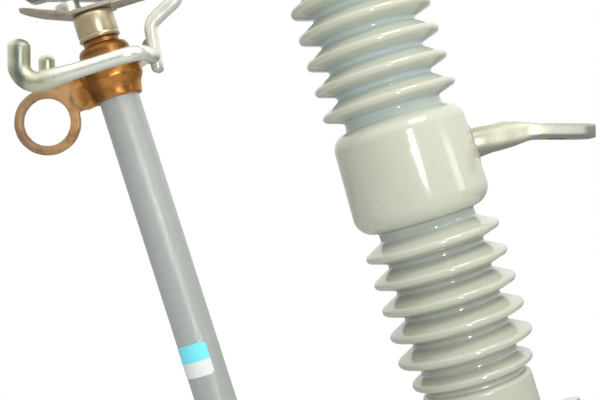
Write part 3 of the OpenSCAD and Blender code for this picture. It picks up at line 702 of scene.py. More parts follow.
def porcelain():
    """Glossy glaze, thin and warm over the crests, thick and blue-grey between the sheds; the blue-grey
    is also painted shade and cool reflection in the valleys, and painted shade darkens both glazes
    towards the bottom.
    """
    f = Finish("glazed porcelain", IOR=1.65)
    top, bottom = stack_heights()[2:]
    band_from = (top - bottom) / 2 - sizes("insulator").end_h
    height, radius = f.about(lean_frame())
    # pale glaze on the crests, collar and end bands, the thicker blue-grey glaze below; that blue-grey
    # is also painted valley shade and cool reflection
    crest = f.step(radius + (f.noise(0.03, 2.0) - 0.5) * 0.003, 0.0345, 0.0420)
    band = f.step(f.math("ABSOLUTE", height - (top + bottom) / 2), band_from - 0.004, band_from)
    # painted shade: the thick glaze darker and greyer low down, the pale glaze 14% darker towards the
    # bottom
    deep_glaze_and_shade = f.blend(f.step(height, -0.10, 0.08), (0.385, 0.405, 0.355), colour_of("valley_glaze_and_shade"))
    pale = f.blend(f.step(height, -0.17, 0.0), colour_of("glaze", 0.86), colour_of("glaze"))
    cloud = f.noise(0.045, 4.0, 0.6)
    turning_marks = f.bands(height * 260.0, 3.0, 0.6)
    speck = 1.0 - f.step(f.cells(0.0042), 0.055, 0.12)
    dust = f.patches(0.52, 0.80, 0.012, 5.0, 0.7)
    return f.surface(
        Base_Color=f.coats(
            deep_glaze_and_shade,
            (f.math("MAXIMUM", crest, band), pale),
            (f.step(cloud, 0.35, 0.75) * 0.35, (0.60, 0.64, 0.52)),
            (f.step(turning_marks, 0.45, 0.85) * 0.10, (0.50, 0.47, 0.36)),
            (speck * f.patches(0.60, 0.68, 0.021, 1.0) * 0.55, (0.20, 0.13, 0.07)),
            (dust * 0.12, (0.42, 0.39, 0.32))),
        Roughness=0.075 + band * 0.20 + dust * 0.10 + cloud * 0.05,
        Normal=f.bumps((f.noise(0.016, 2.0), 0.0006, 0.22), (f.noise(0.0022, 2.0), 0.00008, 0.35)))


def strut_edge_shade_and_foot(f, *fields):
    """Painted shade down the strut's front edge below its bend, and a darker foot."""
    hold = sizes("holder")
    bend = (0.0321 - hold.arm, 0, hold.hook_z)
    out, rise = (f.along(lean_frame(), bend, axis) for axis in ((1, 0, 0), (0, 0, 1)))
    # painted shade: a dark strip down the strut's front edge below the bend
    front_edge_shade = ((1.0 - f.step(out - rise * 0.13, -0.0036, -0.0014))
               * (1.0 - f.step(rise, 0.018, 0.026)))
    foot = f.step(-rise, 0.0035, 0.0085)
    return [(f.math("MAXIMUM", front_edge_shade * 0.50, foot * 0.45), (0.20, 0.23, 0.18))]


def hook_shade_reflection_and_welds(f, reach, tips, drift):
    """Painted cool shade on the arms' undersides, heat-dulled welds beside the strut, and a painted dark
    reflection down the near tip.
    """
    h, hold = sizes("hooks"), sizes("holder")
    turn = (-hold.arm - h.front - h.turn_r, 0, hold.hook_z)
    side = f.part(f.place, "Y")
    # painted shade: cool dark on the arms' undersides
    belly_shade = f.step(-f.along(lean_frame(), turn, (0, 0, 1)), 0.0008, 0.0055) * (1.0 - tips)
    heat = 1.0 - f.step(f.math("ABSOLUTE", side), 0.013, 0.024)
    off = f.math("ABSOLUTE", reach - 0.3546 + (drift - 0.5) * 0.003)
    # painted reflection: a dark band down the near tip, on its near side only
    reflection_stripe = tips * f.step(-side, 0.0, 0.01) * (1.0 - f.step(off, 0.0010, 0.0048))
    return [(belly_shade * 0.50, (0.30, 0.36, 0.36)), (heat * 0.45, (0.30, 0.32, 0.27)),
            (reflection_stripe * 0.72, (0.16, 0.18, 0.19))]


def galvanised(name="galvanised steel", shine=1.0, level=1.0, bright=0.0, shade_and_marks=None):
    """Hot-dip zinc: soft spangles, yellow, green and blue tints, dull oxide and a little dirt.

    shine scales the metal's gloss and level its colour, bright says how new it looks, and the last
    argument adds one piece's painted shade and marks. The strap's shank is painted with light and
    shade: a straw tint, partly painted warm light, a lit top and a grey underside, and painted
    shade lies under the pad.
    """
    f = Finish(name, IOR=1.5)
    warp = f.vector("ADD", f.place, f.scaled(f.noise(0.006, 2.0, output=1), 0.0035))
    spangle = f.cells(0.0052, place=warp, output="Color")
    shade = f.add("ShaderNodeSeparateColor", None, {0: spangle})
    edge = f.step(f.cells(0.0052, "DISTANCE_TO_EDGE", place=warp), 0.0, 0.10)
    drift = f.noise(0.022, 3.0, 0.55)
    reach, height = -f.part(f.place, "X"), f.part(f.place, "Z")
    tips = f.step(reach + (drift - 0.5) * 0.05, 0.318, 0.346)
    fresh = (1.0 - tips) * bright
    oxide = f.patches(0.50, 0.74, 0.010, 6.0, 0.68)
    dirt = f.patches(0.60, 0.82, 0.0048, 6.0, 0.75)

    # masks for painted light and shade on the strap: hump is the shank, lit its lighter top, under the
    # shade beneath the pad and its bend
    at_strap = f.step(height, -0.060, -0.045)
    hump = f.step(reach, 0.012, 0.030) * f.step(-reach, -0.066, -0.060) * at_strap
    lift = height + 0.0053 + (reach - 0.0225) * 0.2
    lit = (hump * f.step(lift, -0.006, -0.002) * f.step(-reach, -0.056, -0.040)
           * (1.0 - f.step(lift, 0.0035, 0.0085) * 0.65))
    flat = f.step(-reach, -0.014, -0.004) * f.step(reach, -0.022, -0.012) * at_strap
    under = (f.step(-height + (drift - 0.5) * 0.002, 0.0050, 0.0092)
             * f.step(-reach, -0.026, -0.020) * at_strap)

    toned = f.coats(
        colour_of("zinc"),
        (f.step(drift, 0.46, 0.62) * 0.75, (0.84, 0.76, 0.54)),
        (f.step(1.0 - drift, 0.50, 0.66) * 0.65, (0.62, 0.72, 0.72)),
        (fresh, (0.93, 0.94, 0.87)),
        (tips * 0.85, (0.52, 0.53, 0.38)),
        ((shade - 0.15) * 0.25, (0.90, 0.91, 0.85)),
        # straw over the shank, partly painted warm light; then painted shade, grey on the shank's
        # underside
        (hump * 0.55, (1.0, 0.95, 0.68)),
        (hump * f.step(-lift, 0.001, 0.008) * 0.60, (0.34, 0.38, 0.39)),
        (oxide * 0.25, (0.66, 0.65, 0.54)),
        # dirt, and painted shade under the strap's pad
        (f.math("MAXIMUM", dirt * 0.15, under * 0.35), (0.22, 0.19, 0.14)),
        *(shade_and_marks(f, reach, tips, drift) if shade_and_marks else ()))
    worn = f.blend(1.0, toned, (level, level, level * 0.96), "MULTIPLY")
    return f.surface(
        # the lit top of the strap's shank is painted light
        Base_Color=f.coats(worn, (flat * 0.16, (0.05, 0.05, 0.05)), (lit * 0.66, (0.90, 0.86, 0.70))),
        Metallic=(0.95 - fresh * 0.57 - oxide * 0.25 - dirt * 0.30 - lit * 0.25) * shine,
        Roughness=(0.19 + shade * 0.05 + oxide * 0.08 + dirt * 0.10 + (1.0 - shine) * 0.45
                   + tips * 0.20),
        Normal=f.bumps((f.noise(0.0022, 3.0, 0.55), 0.00004, 0.25),
                       (edge * 0.3 + shade * 0.7, 0.00003, 0.15),
                       (f.noise(0.011, 2.0), 0.0004, 0.20)))


def small_zinc(name, base, rough):
    """Smaller galvanised and plated hardware: threads, pins, nuts and springs."""
    f = Finish(name, IOR=1.5)
    mottle = f.noise(0.0035, 4.0, 0.6)
    brushed = f.noise(0.0009, place=f.stretched((1.0, 1.0, 0.12)))
    oxide = f.step(mottle, 0.50, 0.75)
    dirt = f.patches(0.58, 0.80, 0.0021, 5.0, 0.7)
    return f.surface(
        Base_Color=f.coats(base, (oxide * 0.45, tuple(0.8 * v for v in base)),
                           (dirt * 0.35, (0.17, 0.14, 0.10))),
        Metallic=0.9 - dirt * 0.4, Roughness=rough + oxide * 0.15 + dirt * 0.15,
        Normal=f.bumps((brushed, 0.00004, 0.35), (mottle, 0.0001, 0.3)))


def cast_bronze(name="cast bronze", patina=0.0):
    """Sand-cast bronze: orange-brown, with painted shade at its neck and beside the web, tan where it
    weathers.
    """
    f = Finish(name, IOR=1.45)
    height, radius = f.about(tube_frame(), 0.1)
    blotch = f.noise(0.011, 4.0, 0.6)
    fine = f.noise(0.0026, 5.0, 0.7)
    weathered = f.step(radius + (blotch - 0.5) * 0.010, 0.0225, 0.030)
    open_air = f.blend(f.step(radius, 0.030, 0.062), (0.600, 0.340, 0.160), (0.385, 0.245, 0.140))
    brown = f.step(blotch, 0.47, 0.68)
    forward = f.along(tube_frame(), (0, 0, 0.1), (1, 0, 0))
    # painted shade: a dark band down the body beside the web, on both sides
    corner = (f.step(forward, -0.0185, -0.0150)
              * (1.0 - f.step(forward + (blotch - 0.5) * 0.006, -0.010, -0.003))
              * (1.0 - weathered))
    # painted shade: a darker neck
    neck = f.step(height, 0.024, 0.033)
    pits = f.patches(0.62, 0.80, 0.0011, 3.0, 0.6)
    return f.surface(
        Base_Color=f.coats(
            colour_of("bronze"),
            (weathered * 0.92, open_air),
            (f.step(fine, 0.48, 0.70) * 0.20, (0.62, 0.37, 0.15)),
            (brown * 0.60, (0.18, 0.075, 0.020)),
            # painted shade on the neck and beside the web
            (f.math("MAXIMUM", corner * 0.75, neck * 0.72), (0.140, 0.055, 0.012)),
            (patina, (0.30, 0.215, 0.125)),
            (pits * 0.45, (0.10, 0.05, 0.02))),
        Metallic=0.90 - brown * 0.15 - weathered * 0.55,
        Roughness=0.33 + fine * 0.06 + weathered * 0.15 + pits * 0.10,
        Normal=f.bumps((fine, 0.00010, 0.30), (f.noise(0.0009, 2.0), 0.00004, 0.3),
                       (f.noise(0.006, 2.0), 0.0003, 0.20)))


def plated_cap():
    """Dull tin plating with drawing marks round it and a brown tarnish."""
    f = Finish("plated cap", IOR=1.45)
    height = f.along(tube_frame(), (0, 0, 0.16), (0, 0, 1))
    tarnish = f.patches(0.45, 0.75, 0.008, 4.0, 0.6)
    rim = f.step(f.noise(0.004, 2.0) * 0.004 - height, 0.010, 0.014)
    return f.surface(
        Base_Color=f.coats(colour_of("plating"), (tarnish * 0.40, (0.46, 0.34, 0.19)),
                           (rim * 0.35, (0.30, 0.19, 0.09))),
        Metallic=0.62 - tarnish * 0.15, Roughness=0.30 + tarnish * 0.12,
        Normal=f.bumps((f.bands(height * 2400.0), 0.00002, 0.3),
                       (f.noise(0.0018, 3.0), 0.00004, 0.25)))


def tarnished_contact():
    """Plated copper strip: grey-brown, with brown and purplish tarnish and wiped, brighter places."""
    f = Finish("tarnished contact", IOR=1.45)
    stain = f.noise(0.013, 4.0, 0.62, 0.6)
    wiped = f.patches(0.55, 0.75, 0.005, 3.0, place=f.stretched((4.0, 1.0, 1.0)))
    return f.surface(
        Base_Color=f.coats(
            colour_of("contact"),
            (f.step(stain, 0.45, 0.70) * 0.7, (0.25, 0.145, 0.085)),
            (f.step(1.0 - stain, 0.48, 0.66) * 0.5, (0.30, 0.235, 0.265)),
            (wiped * 0.4, (0.58, 0.54, 0.44))),
        Metallic=0.78 - f.step(stain, 0.5, 0.7) * 0.25,
        Roughness=0.36 + stain * 0.2,
        Normal=f.bumps((f.noise(0.0014, 4.0, 0.6), 0.00008, 0.4)))


def cemented():
    f = Finish("cement", Roughness=0.85)
    sand = f.noise(0.0007, 3.0, 0.7)
    patch = f.noise(0.006, 4.0, 0.6)
    return f.surface(
        Base_Color=f.coats(
            colour_of("cement"),
            (f.step(patch, 0.4, 0.7) * 0.5, (0.56, 0.54, 0.47)),
            (f.step(sand, 0.55, 0.8) * 0.4, (0.22, 0.20, 0.17))),
        Normal=f.bumps((sand, 0.0003, 0.5), (patch, 0.0006, 0.4)))


def coated_tube():
    """Smooth grey coat over wound glass fibre, with faint winding and a few scuffs."""
    f = Finish("coated fibre tube", IOR=1.75)
    tipped = (0, -0.31, 0)
    height = f.along(tube_frame(), (0, 0, 0), (0, 0, 1))
    slow = f.noise(0.050)
    winding = f.bands(height * 420.0 + f.noise(0.02, 1.0) * 1.6)
    fibres = f.noise(0.0018, 2.0, place=f.stretched((1.0, 1.0, 0.06), tipped))
    scuff = f.patches(0.60, 0.80, 0.0032, 5.0, 0.7, place=f.stretched((1.0, 1.0, 3.5), tipped))
    return f.surface(
        Base_Color=f.coats(
            colour_of("tube"),
            (f.step(slow, 0.35, 0.70) * 0.35, colour_of("tube", 1.18)),
            (f.step(winding, 0.40, 0.80) * 0.10, colour_of("tube", 0.72)),
            (scuff * 0.30, (0.55, 0.56, 0.52))),
        Roughness=0.14 + scuff * 0.20 + slow * 0.06,
        Normal=f.bumps((winding, 0.00005, 0.25), (f.noise(0.012, 2.0), 0.0003, 0.14),
                       (fibres, 0.00018, 0.55)))


def printed_label():
    """Plain label with one coloured band along its upper part."""
    f = Finish("plain label", IOR=1.45)
    height = f.along(tube_frame(), (0, 0, LABEL_LOW), (0, 0, 1))
    ragged = height + (f.noise(0.002, 2.0) - 0.5) * 0.0003
    border = sizes("holder").label_h * 0.46
    faded = f.blend(f.patches(0.45, 0.75, 0.006, 4.0, 0.6) * 0.25, colour_of("band"),
                    (0.42, 0.80, 0.86))
    grime = f.patches(0.52, 0.80, 0.0035, 5.0, 0.7)
    return f.surface(
        Base_Color=f.coats(
            colour_of("paper"),
            (f.step(ragged, border - 0.0002, border + 0.0002), faded),
            (grime * 0.18, (0.38, 0.37, 0.32))),
        Roughness=0.28 + grime * 0.25,
        Normal=f.bumps((f.noise(0.0035, 2.0), 0.0001, 0.25)))


FINISHES = {
    "porcelain": porcelain,
    "zinc": galvanised,
    "hook zinc": lambda: galvanised("hook zinc", bright=0.75, shade_and_marks=hook_shade_reflection_and_welds),
    "weathered zinc": lambda: galvanised("weathered zinc", 0.62, 0.49),
    "dull zinc": lambda: galvanised("dull zinc", 0.80, 0.93, 0.75, strut_edge_shade_and_foot),
    "bronze": cast_bronze,
    "aged bronze": lambda: cast_bronze("aged bronze", 0.35),
    "cap": plated_cap,
    "contact": tarnished_contact,
    "cement": cemented,
    "tube": coated_tube,
    "label": printed_label,
    "hardware": lambda: small_zinc("plated hardware", (0.60, 0.60, 0.54), 0.30),
    "spring": lambda: small_zinc("spring steel", (0.50, 0.49, 0.45), 0.24),
    "button": lambda: small_zinc("tinned button", (0.80, 0.86, 0.74), 0.30),
}


def finish(name):
    return once(FINISHES[name])


# ---- insulator and strap

def shed_profile(z, d):
    """One shed with its root fillets, from below to above."""
    above, under = math.degrees(SHED_ABOVE), math.degrees(SHED_UNDER)
    fillet = sizes("insulator").core_d / 2 + SHED_ROOT_R
    low = z - shed_reach(d, SHED_UNDER) - SHED_ROOT_R * math.tan(math.radians(45) - SHED_UNDER / 2)
    high = z + shed_reach(d, SHED_ABOVE) + SHED_ROOT_R * math.tan(math.radians(45) - SHED_ABOVE / 2)
    return (arc(fillet, low, SHED_ROOT_R, 180, 90 + under, 6)
            + arc(d / 2 - SHED_TIP_R, z, SHED_TIP_R, under - 90, 90 - above, 12)
            + arc(fillet, high, SHED_ROOT_R, 270 - above, 180, 6))


def insulator_profile():
    s = sizes("insulator")
    first_up, first_down, top, bottom = stack_heights()
    stack = [(i * s.pitch, s.shed_d) for i in range(s.sheds - 1)]
    stack.append(((s.sheds - 2) * s.pitch + s.end_pitch, s.end_shed_d))
    edge, fillet, half = 0.004, 0.0015, s.collar_h / 2
    lip, low_r, high_r = 0.001, 0.0135, 0.012
    end = [(0.0, bottom + s.socket_depth), (s.socket_d / 2, bottom + s.socket_depth),
           *arc(s.socket_d / 2 + lip, bottom + lip, lip, 180, 270, 4),
           *arc(s.end_d / 2 - edge, bottom + edge, edge, -90, 0, 8),
           *arc(s.end_d / 2 - edge, bottom + s.end_h - edge, edge, 0, 90, 8)]
    profile = list(end)
    for offset, width in reversed(stack):
        profile += shed_profile(first_down - offset, width)
    profile += arc(s.core_d / 2 + fillet, -half - fillet, fillet, 180, 90, 4)
    profile += arc(s.collar_bottom_d / 2 - low_r, low_r - half, low_r, -90, 0, 18)
    profile += arc(s.collar_top_d / 2 - high_r, half - high_r, high_r, 0, 88, 18)
    for offset, width in stack:
        profile += shed_profile(first_up + offset, width)
    return profile + [(r, top + bottom - z) for r, z in reversed(end)]


class CUTOUT_OT_insulator(bpy.types.Operator):
    """Turns the porcelain insulator with its sheds and collar"""
    bl_idname = "cutout.insulator"
    bl_label = "Insulator"

    def execute(self, context):
        shown = turned("porcelain_insulator", insulator_profile(), finish("porcelain"),
                       lean_frame(), sizes("insulator").segments)
        settle(shown, FIXED, "insulator")
        return {"FINISHED"}


class CUTOUT_OT_strap(bpy.types.Operator):
    """Forges the mounting strap: a round shank out of the collar that flattens into a drilled pad"""
    bl_idname = "cutout.strap"
    bl_label = "Mounting strap"

    def execute(self, context):
        s = sizes("strap")
        middle = -s.pad_t / 2
        sections = [[(x, u, z + v) for u, v in round_section(width, height, power, 48)]
                    for x, z, height, width, power in in_steps(self.stations(s, middle), 0.002,
                                                               lambda row: row[0])]
        shown = loft("mounting_strap_forged", sections, finish("weathered zinc"))
        tool = placed("drill", bpy.data.meshes.new("drill"))
        with Editing(tool.data) as work:
            bmesh.ops.create_cone(work, cap_ends=True, segments=64, radius1=s.hole_d / 2,
                                  radius2=s.hole_d / 2, depth=3 * s.pad_t, matrix=shift(0, 0, middle))
        modified(shown, "BOOLEAN", operation="DIFFERENCE", solver="EXACT", object=tool)
        bpy.data.objects.remove(tool)
        settle(shown, FIXED, "mounting_strap", sharp=48)
        self.grout(s)
        return {"FINISHED"}

    def stations(self, s, middle):
        """X, height of the centre, thickness, width and squareness along the strap."""
        start, leave, neck = (lean_frame() @ Vector((out, 0, s.shank_rise - sag))
                              for out, sag in ((0.030, 0), (0.046, 0), (0.0595, 0.0004)))
        stations = [
            (start.x, start.z, s.shank_h, s.shank_w, 2.4),
            (leave.x, leave.z, s.shank_h, s.shank_w, 2.5),
            (leave.x + 0.006, leave.z * 0.55 + neck.z * 0.45, s.shank_h - 0.0006,
             s.shank_w + 0.001, 2.7),
            (neck.x, neck.z, s.shank_h - 0.0022, s.shank_w + 0.004, 3.0),
            (-0.0385, -0.0077, 0.0196, 0.0270, 3.2),
            (-0.0300, -0.0064, 0.0170, 0.0325, 3.8),
            (-0.0225, -0.0053, 0.0131, 0.0366, 5.0),
            (-0.0150, middle - 0.0001, s.pad_t + 0.0002, s.pad_w, 8.0),
            (-0.0080, middle, s.pad_t, s.pad_w, 9.0),
            (0.0060, middle, s.pad_t, s.pad_w, 9.0),
        ]
        for turn in (0, 20, 40, 58, 74, 86):
            c, out = polar(s.pad_corner, math.radians(turn))
            stations.append((s.pad_end - s.pad_corner + out, middle, s.pad_t - 0.0002 * turn / 86,
                             s.pad_w - 2 * (s.pad_corner - c), 8.0))
        return stations + [(s.pad_end - 0.0002, middle, s.pad_t - 0.0022,
                            s.pad_w - 2 * s.pad_corner - 0.002, 6.0)]

    def grout(self, s):
        """A bead round the shank that follows the collar's tapering side."""
        back = 0.040
        foot_r = sizes("insulator").collar_bottom_d / 2
        rings = []
        for r, proud in ((0.0100, 0.0006), (0.0112, 0.0009), (0.0126, 0.0005), (0.0142, 0.0002),
                         (0.0152, -0.0006)):
            ring = []
            for k in range(64):
                y, up = polar(r, math.tau * k / 64)
                z = s.shank_rise + up * 1.04
                side = foot_r - (z + 0.0225) * 0.0014 / 0.0465
                ring.append((math.sqrt(max(side ** 2 - y ** 2, 0)) + proud, y, z))
            rings.append(ring)
        inner, outer = ([(back, *point[1:]) for point in ring] for ring in (rings[0], rings[-1]))
        bead = loft("strap_grout_bead", [inner, *rings, outer], finish("cement"), lean_frame())
        settle(bead, FIXED, "strap_grout", sharp=60)


# ---- hooks

def rounded_path(points, radii, steps):
    """A path of (x, z) points whose corners are rounded by the given radii."""
    path = [points[0]]
    for before, here, after, radius in zip(map(Vector, points), map(Vector, points[1:]),
                                           map(Vector, points[2:]), radii):
        back, on = (before - here).normalized(), (after - here).normalized()
        reach = min(radius / math.tan(back.angle(on) / 2), 0.49 * (before - here).length,
                    0.49 * (after - here).length)
        start, end = here + back * reach, here + on * reach
        for t in (k / steps for k in range(steps + 1)):
            path.append(tuple(start * (1 - t) ** 2 + here * 2 * t * (1 - t) + end * t ** 2))
    return path + [points[-1]]


class CUTOUT_OT_hooks(bpy.types.Operator):
    """Sweeps the two attachment hooks and the strut that carries them"""
    bl_idname = "cutout.hooks"
    bl_label = "Hooks and strut"

    def execute(self, context):
        h = sizes("hooks")
        self.hook(h, -1, "hook_left", h.left_tip_d, 0.0)
        self.hook(h, 1, "hook_right", h.right_tip_d, h.right_rise)
        self.strut(h)
        return {"FINISHED"}

    def hook(self, h, side, name, tip_d, rise):
        hold, lean = sizes("holder"), sizes("insulator").lean
        z0, front, rear = hold.hook_z, -hold.arm - h.front, -hold.arm + h.rear
        rows = []

        def add(x, z, d, y=h.spread):
            rows.append((x, side * y, z, d / 2))

        def upright(up, d):
            """A point above the turn, where the tip stands upright in the cutout's own frame."""
            add(front - h.turn_r * math.cos(lean) + up * math.sin(lean),
                z0 + h.turn_r + h.turn_r * math.sin(lean) + up * math.cos(lean), d)

        tip_h = 0.0116 + 0.45 * h.rod_d
        round_h = 0.36 * tip_d
        heavy = tip_d * 0.93
        for k in range(13):
            across, round_over = polar(1, math.pi / 2 * k / 12)
            upright(tip_h - round_h * (1 - across), tip_d * max(round_over, 0.06))
        for k in range(1, 6):
            upright((tip_h - round_h) * (1 - k / 6), tip_d)
        for k, (x, z) in enumerate(arc(front, z0 + h.turn_r, h.turn_r, 180 - math.degrees(lean),
                                       270, 24)):
            add(x, z, eased(tip_d, heavy, k / 24))
        near = -hold.arm - 0.003
        for k in range(1, 19):
            add(front + (near - front) * k / 18, z0, eased(heavy, h.rod_d, min(1, k / 13)))
        turn_x, turn_y = rear - h.rear_turn_r, h.spread - h.rear_turn_r
        for t in (k / 12 for k in range(1, 13)):
            add(near + (turn_x - near) * t, z0 + rise * 0.7 * eased(0, 1, t), h.rod_d)
        for x, y in arc(turn_x, turn_y, h.rear_turn_r, 90, 0, 16)[1:]:
            add(x, z0 + rise * (0.7 + 0.3 * (x - turn_x) / h.rear_turn_r), h.rod_d, y)
        weld_y = h.strut_w / 2 - 0.001
        for t in (k / 6 for k in range(1, 7)):
            add(eased(rear, rear + 0.0025, t), z0 + rise, h.rod_d * (1 + 0.16 * max(0, t - 0.6) / 0.4),
                turn_y + (weld_y - turn_y) * t)

        path = bpy.data.curves.new(name + "_path", "CURVE")
        path.dimensions = "3D"
        line = path.splines.new("POLY")
        line.points.add(len(rows) - 1)
        for point, (x, y, z, r) in zip(line.points, rows):
            point.co = (x, y, z, 1.0)
            point.radius = r
        shown = once(rod).make(name + "_cast", path, lean_frame(), Sides=h.sides, Grain=0.0005,
                               Grain_size=0.007, Material=finish("hook zinc"))
        settle(shown, FIXED, name, sharp=60)

    def strut(self, h):
        arm, z0, top = -sizes("holder").arm, sizes("holder").hook_z, stack_heights()[2]
        foot_back, foot_z = -sizes("insulator").end_d / 2 - h.strut_gap, top - h.strut_t / 2
        corners = [(arm + 0.0312, z0 - 0.0085), (arm + 0.035, z0 + 0.022), (arm + 0.057, z0 + 0.033),
                   (foot_back - h.strut_foot, foot_z), (foot_back, foot_z)]
        path = rounded_path(corners, (0.010, 0.010, 0.009), 8)
        run, rows = 0.0, []
        for before, here in zip(path[:1] + path, path):
            run += (Vector(here) - Vector(before)).length
            rows.append((*here, run))
        rows = in_steps(rows, 0.002, lambda row: row[2])
        start = Vector(rows[0][:2])
        down = (start - Vector(rows[1][:2])).normalized()
        # X, Z, width, thickness and squareness, from the rounded end upwards
        bars = []
        for turn in (84, 66, 48, 30, 15):
            across, out = polar(1, math.radians(turn))
            bars.append((*(start + down * 0.0026 * out), h.strut_w * (0.62 + 0.38 * across),
                         h.strut_t * max(0.12, across), 3.0))
        bars += [(x, z, h.strut_w, h.strut_t, eased(3.2, 6.5, min(1, s / 0.09))) for x, z, s in rows]
        sections = []
        for before, (x, z, *section), after in zip(bars[:1] + bars, bars, bars[1:] + bars[-1:]):
            ahead = (Vector(after[:2]) - Vector(before[:2])).normalized()
            sections.append([(x - ahead.y * v, u, z + ahead.x * v)
                             for u, v in round_section(*section, 40)])
        shown = loft("hook_strut_forged", sections, finish("dull zinc"), lean_frame())
        grain(shown, 0.00025, 0.006, 3.0)
        settle(shown, FIXED, "hook_strut", sharp=55)


# ---- contact

class CUTOUT_OT_contact(bpy.types.Operator):
    """Makes the contact plate over the cap, with its button and its backing spring"""
    bl_idname = "cutout.contact"
    bl_label = "Top contact"

    def execute(self, context):
        machined("contact_plate_pressed", "contact_plate", FIXED, finish("contact"), 0.0006, 3)
        machined("contact_button", "contact_stud", FIXED, finish("button"), 0.0018, 4)
        machined("backing_spring", "backup_spring", FIXED, finish("spring"), 0.0004, 2)
        return {"FINISHED"}


# ---- end fittings

def hexagon(across_flats, height, bore=0.0, chamfer=0.0011):
    """A nut's mesh from z 0 up, its corners turned off. With no bore it is a head, flat below."""
    count, sixth = 60, math.pi / 3
    turned_off = across_flats / 2 * 1.01

    def outline(z, limit):
        ring = []
        for a in (math.tau * k / count for k in range(count)):
            flat = across_flats / 2 / math.cos((a + sixth / 2) % sixth - sixth / 2)
            ring.append((*polar(min(flat, limit), a), z))
        return ring

    rings = [outline(0.0, turned_off if bore else across_flats), outline(chamfer, across_flats),
             outline(height - chamfer, across_flats), outline(height, turned_off)]
    if bore:
        rings += [level_ring(r, z, count) for r, z in (
            (bore / 2 + 0.0006, height), (bore / 2, height - 0.0007), (bore / 2, 0.0007),
            (bore / 2 + 0.0006, 0.0))]
    return skin("hexagon", rings, closed=bool(bore))


def threaded(r, low, high, pitch, depth=0.0006):
    """Profile points of a threaded length, its ridges as rings."""
    points, z = [], low
    while z + pitch <= high:
        points += [(r - depth, z), (r, z + 0.35 * pitch), (r, z + 0.6 * pitch)]
        z += pitch
    return points + [(r - depth, z), (r - depth, high)]


def stacked(*parts):
    """One mesh from (mesh, height, turn) parts on one axis."""
    mesh = bpy.data.meshes.new("stacked")
    with Editing(mesh) as work:
        for part, z, turn in parts:
            part = part.copy()
            part.transform(shift(0, 0, z) @ turn_about("Z", turn))
            work.from_mesh(part)
            bpy.data.meshes.remove(part)
    return mesh


def set_out(name, node, body, mesh, points, place, turn=(0.0, 0.0, 0.0)):
    """Fasteners of one kind on a list of points."""
    model = placed(name + "_model", mesh)
    spots = bpy.data.meshes.new(name + "_spots")
    spots.from_pydata(points, [], [])
    shown = once(setting_out).make(name, spots, place, Fastener=model, Turn=turn, Spin=0.5,
                                   Material=finish("hardware"))
    bpy.data.objects.remove(model)
    return settle(shown, body, node, sharp=32)


def foot_bolt(under):
    """A bolt down through a bar that stands on z 0, its nut below what lies under the bar."""
    shank = turned_mesh([(0.0036, -under - 0.011), (0.0044, -under - 0.0103)]
                        + threaded(0.0048, -under - 0.010, -under - 0.0005, 0.0015)
                        + [(0.0048, -under), (0.0048, BAR_T + 0.001)])
    disc = turned_mesh([(0.0086, 0), (0.0092, 0.0002), (0.0092, 0.0013), (0.0088, 0.0015)])
    return stacked((disc, BAR_T, 0), (hexagon(0.0155, 0.0055), BAR_T + 0.0015, 0), (shank, 0, 0),
                   (hexagon(0.0155, 0.0062, 0.0096), -under - 0.0070, 0.4),
                   (disc, -under - 0.0015, 0))


def rivet(under):
    """A rivet with two domed heads through a bar and what lies under it."""
    dome = [(0.0070 * c, 0.003 * s) for c, s in (polar(1, math.radians(turn))
                                                 for turn in (0, 12, 25, 40, 55, 70, 84))]
    return turned_mesh([(r, -under - z) for r, z in reversed(dome)]
                       + [(0.0040, -under), (0.0040, BAR_T)] + [(r, BAR_T + z) for r, z in dome])


class CUTOUT_OT_end_fittings(bpy.types.Operator):
    """Makes the support bars, inserts, nuts and terminals at both ends of the insulator"""
    bl_idname = "cutout.end_fittings"
    bl_label = "End fittings"

    def execute(self, context):
        top = stack_heights()[2]
        for end, place in (("top", lean_frame()), ("bottom", at_bottom())):
            machined(end + "_bar", end + "_support", FIXED, finish("zinc"), 0.0008, 2)
            cast(end + "_clamp_block", end + "_terminal", FIXED, finish("aged bronze"), 0.0006, 6)
            cast(end + "_eye", end + "_eyebolt", FIXED, finish("hardware"), 0.0005, 5, 0.00004, 0.003)
            self.nut(end + "_terminal_hexagon", end + "_terminal_nut",
                     place @ shift(0.058, 0, top - 0.010), (hexagon(0.019, 0.010, 0.012), 0, 0.55))
            disc = turned_mesh([(0.0164, -0.003), (0.017, -0.0027), (0.017, -0.0004), (0.0166, 0)], 64)
            self.nut(end + "_stud_hexagon", end + "_nut", place @ shift(0, 0, top + 0.009),
                     (hexagon(0.024, 0.013, 0.016), 0, 0.35), (disc, 0, 0))
            self.insert(end, place, top)
        return {"FINISHED"}

    def nut(self, name, node, place, *parts):
        settle(piece(name, stacked(*parts), place, finish("hardware")), FIXED, node, sharp=32)

    def insert(self, end, place, top):
        """The threaded stud in the insulator's end, and the cement round it."""
        low, high = top - 0.041, top + 0.027
        profile = [(0.0, low), (0.013, low), (0.013, top - 0.0002), (0.0078, top),
                   *threaded(0.008, top + 0.001, high - 0.001, 0.002, 0.0008),
                   (0.0065, high), (0.0, high)]
        shown = turned(end + "_insert", profile, finish("hardware"), place, 48)
        settle(shown, FIXED, end + "_stud", sharp=32)
        r = sizes("insulator").socket_d / 2 - 0.0001
        profile = [(0.0, top - 0.040), (r, top - 0.040), (r, top - 0.0006), (r - 0.004, top - 0.0012),
                   (0.0165, top - 0.0010), (0.0134, top - 0.0004), (0.0134, top - 0.010),
                   (0.0, top - 0.010)]
        shown = turned(end + "_cement_ring", profile, finish("cement"), place, 72)
        settle(shown, FIXED, end + "_cement")


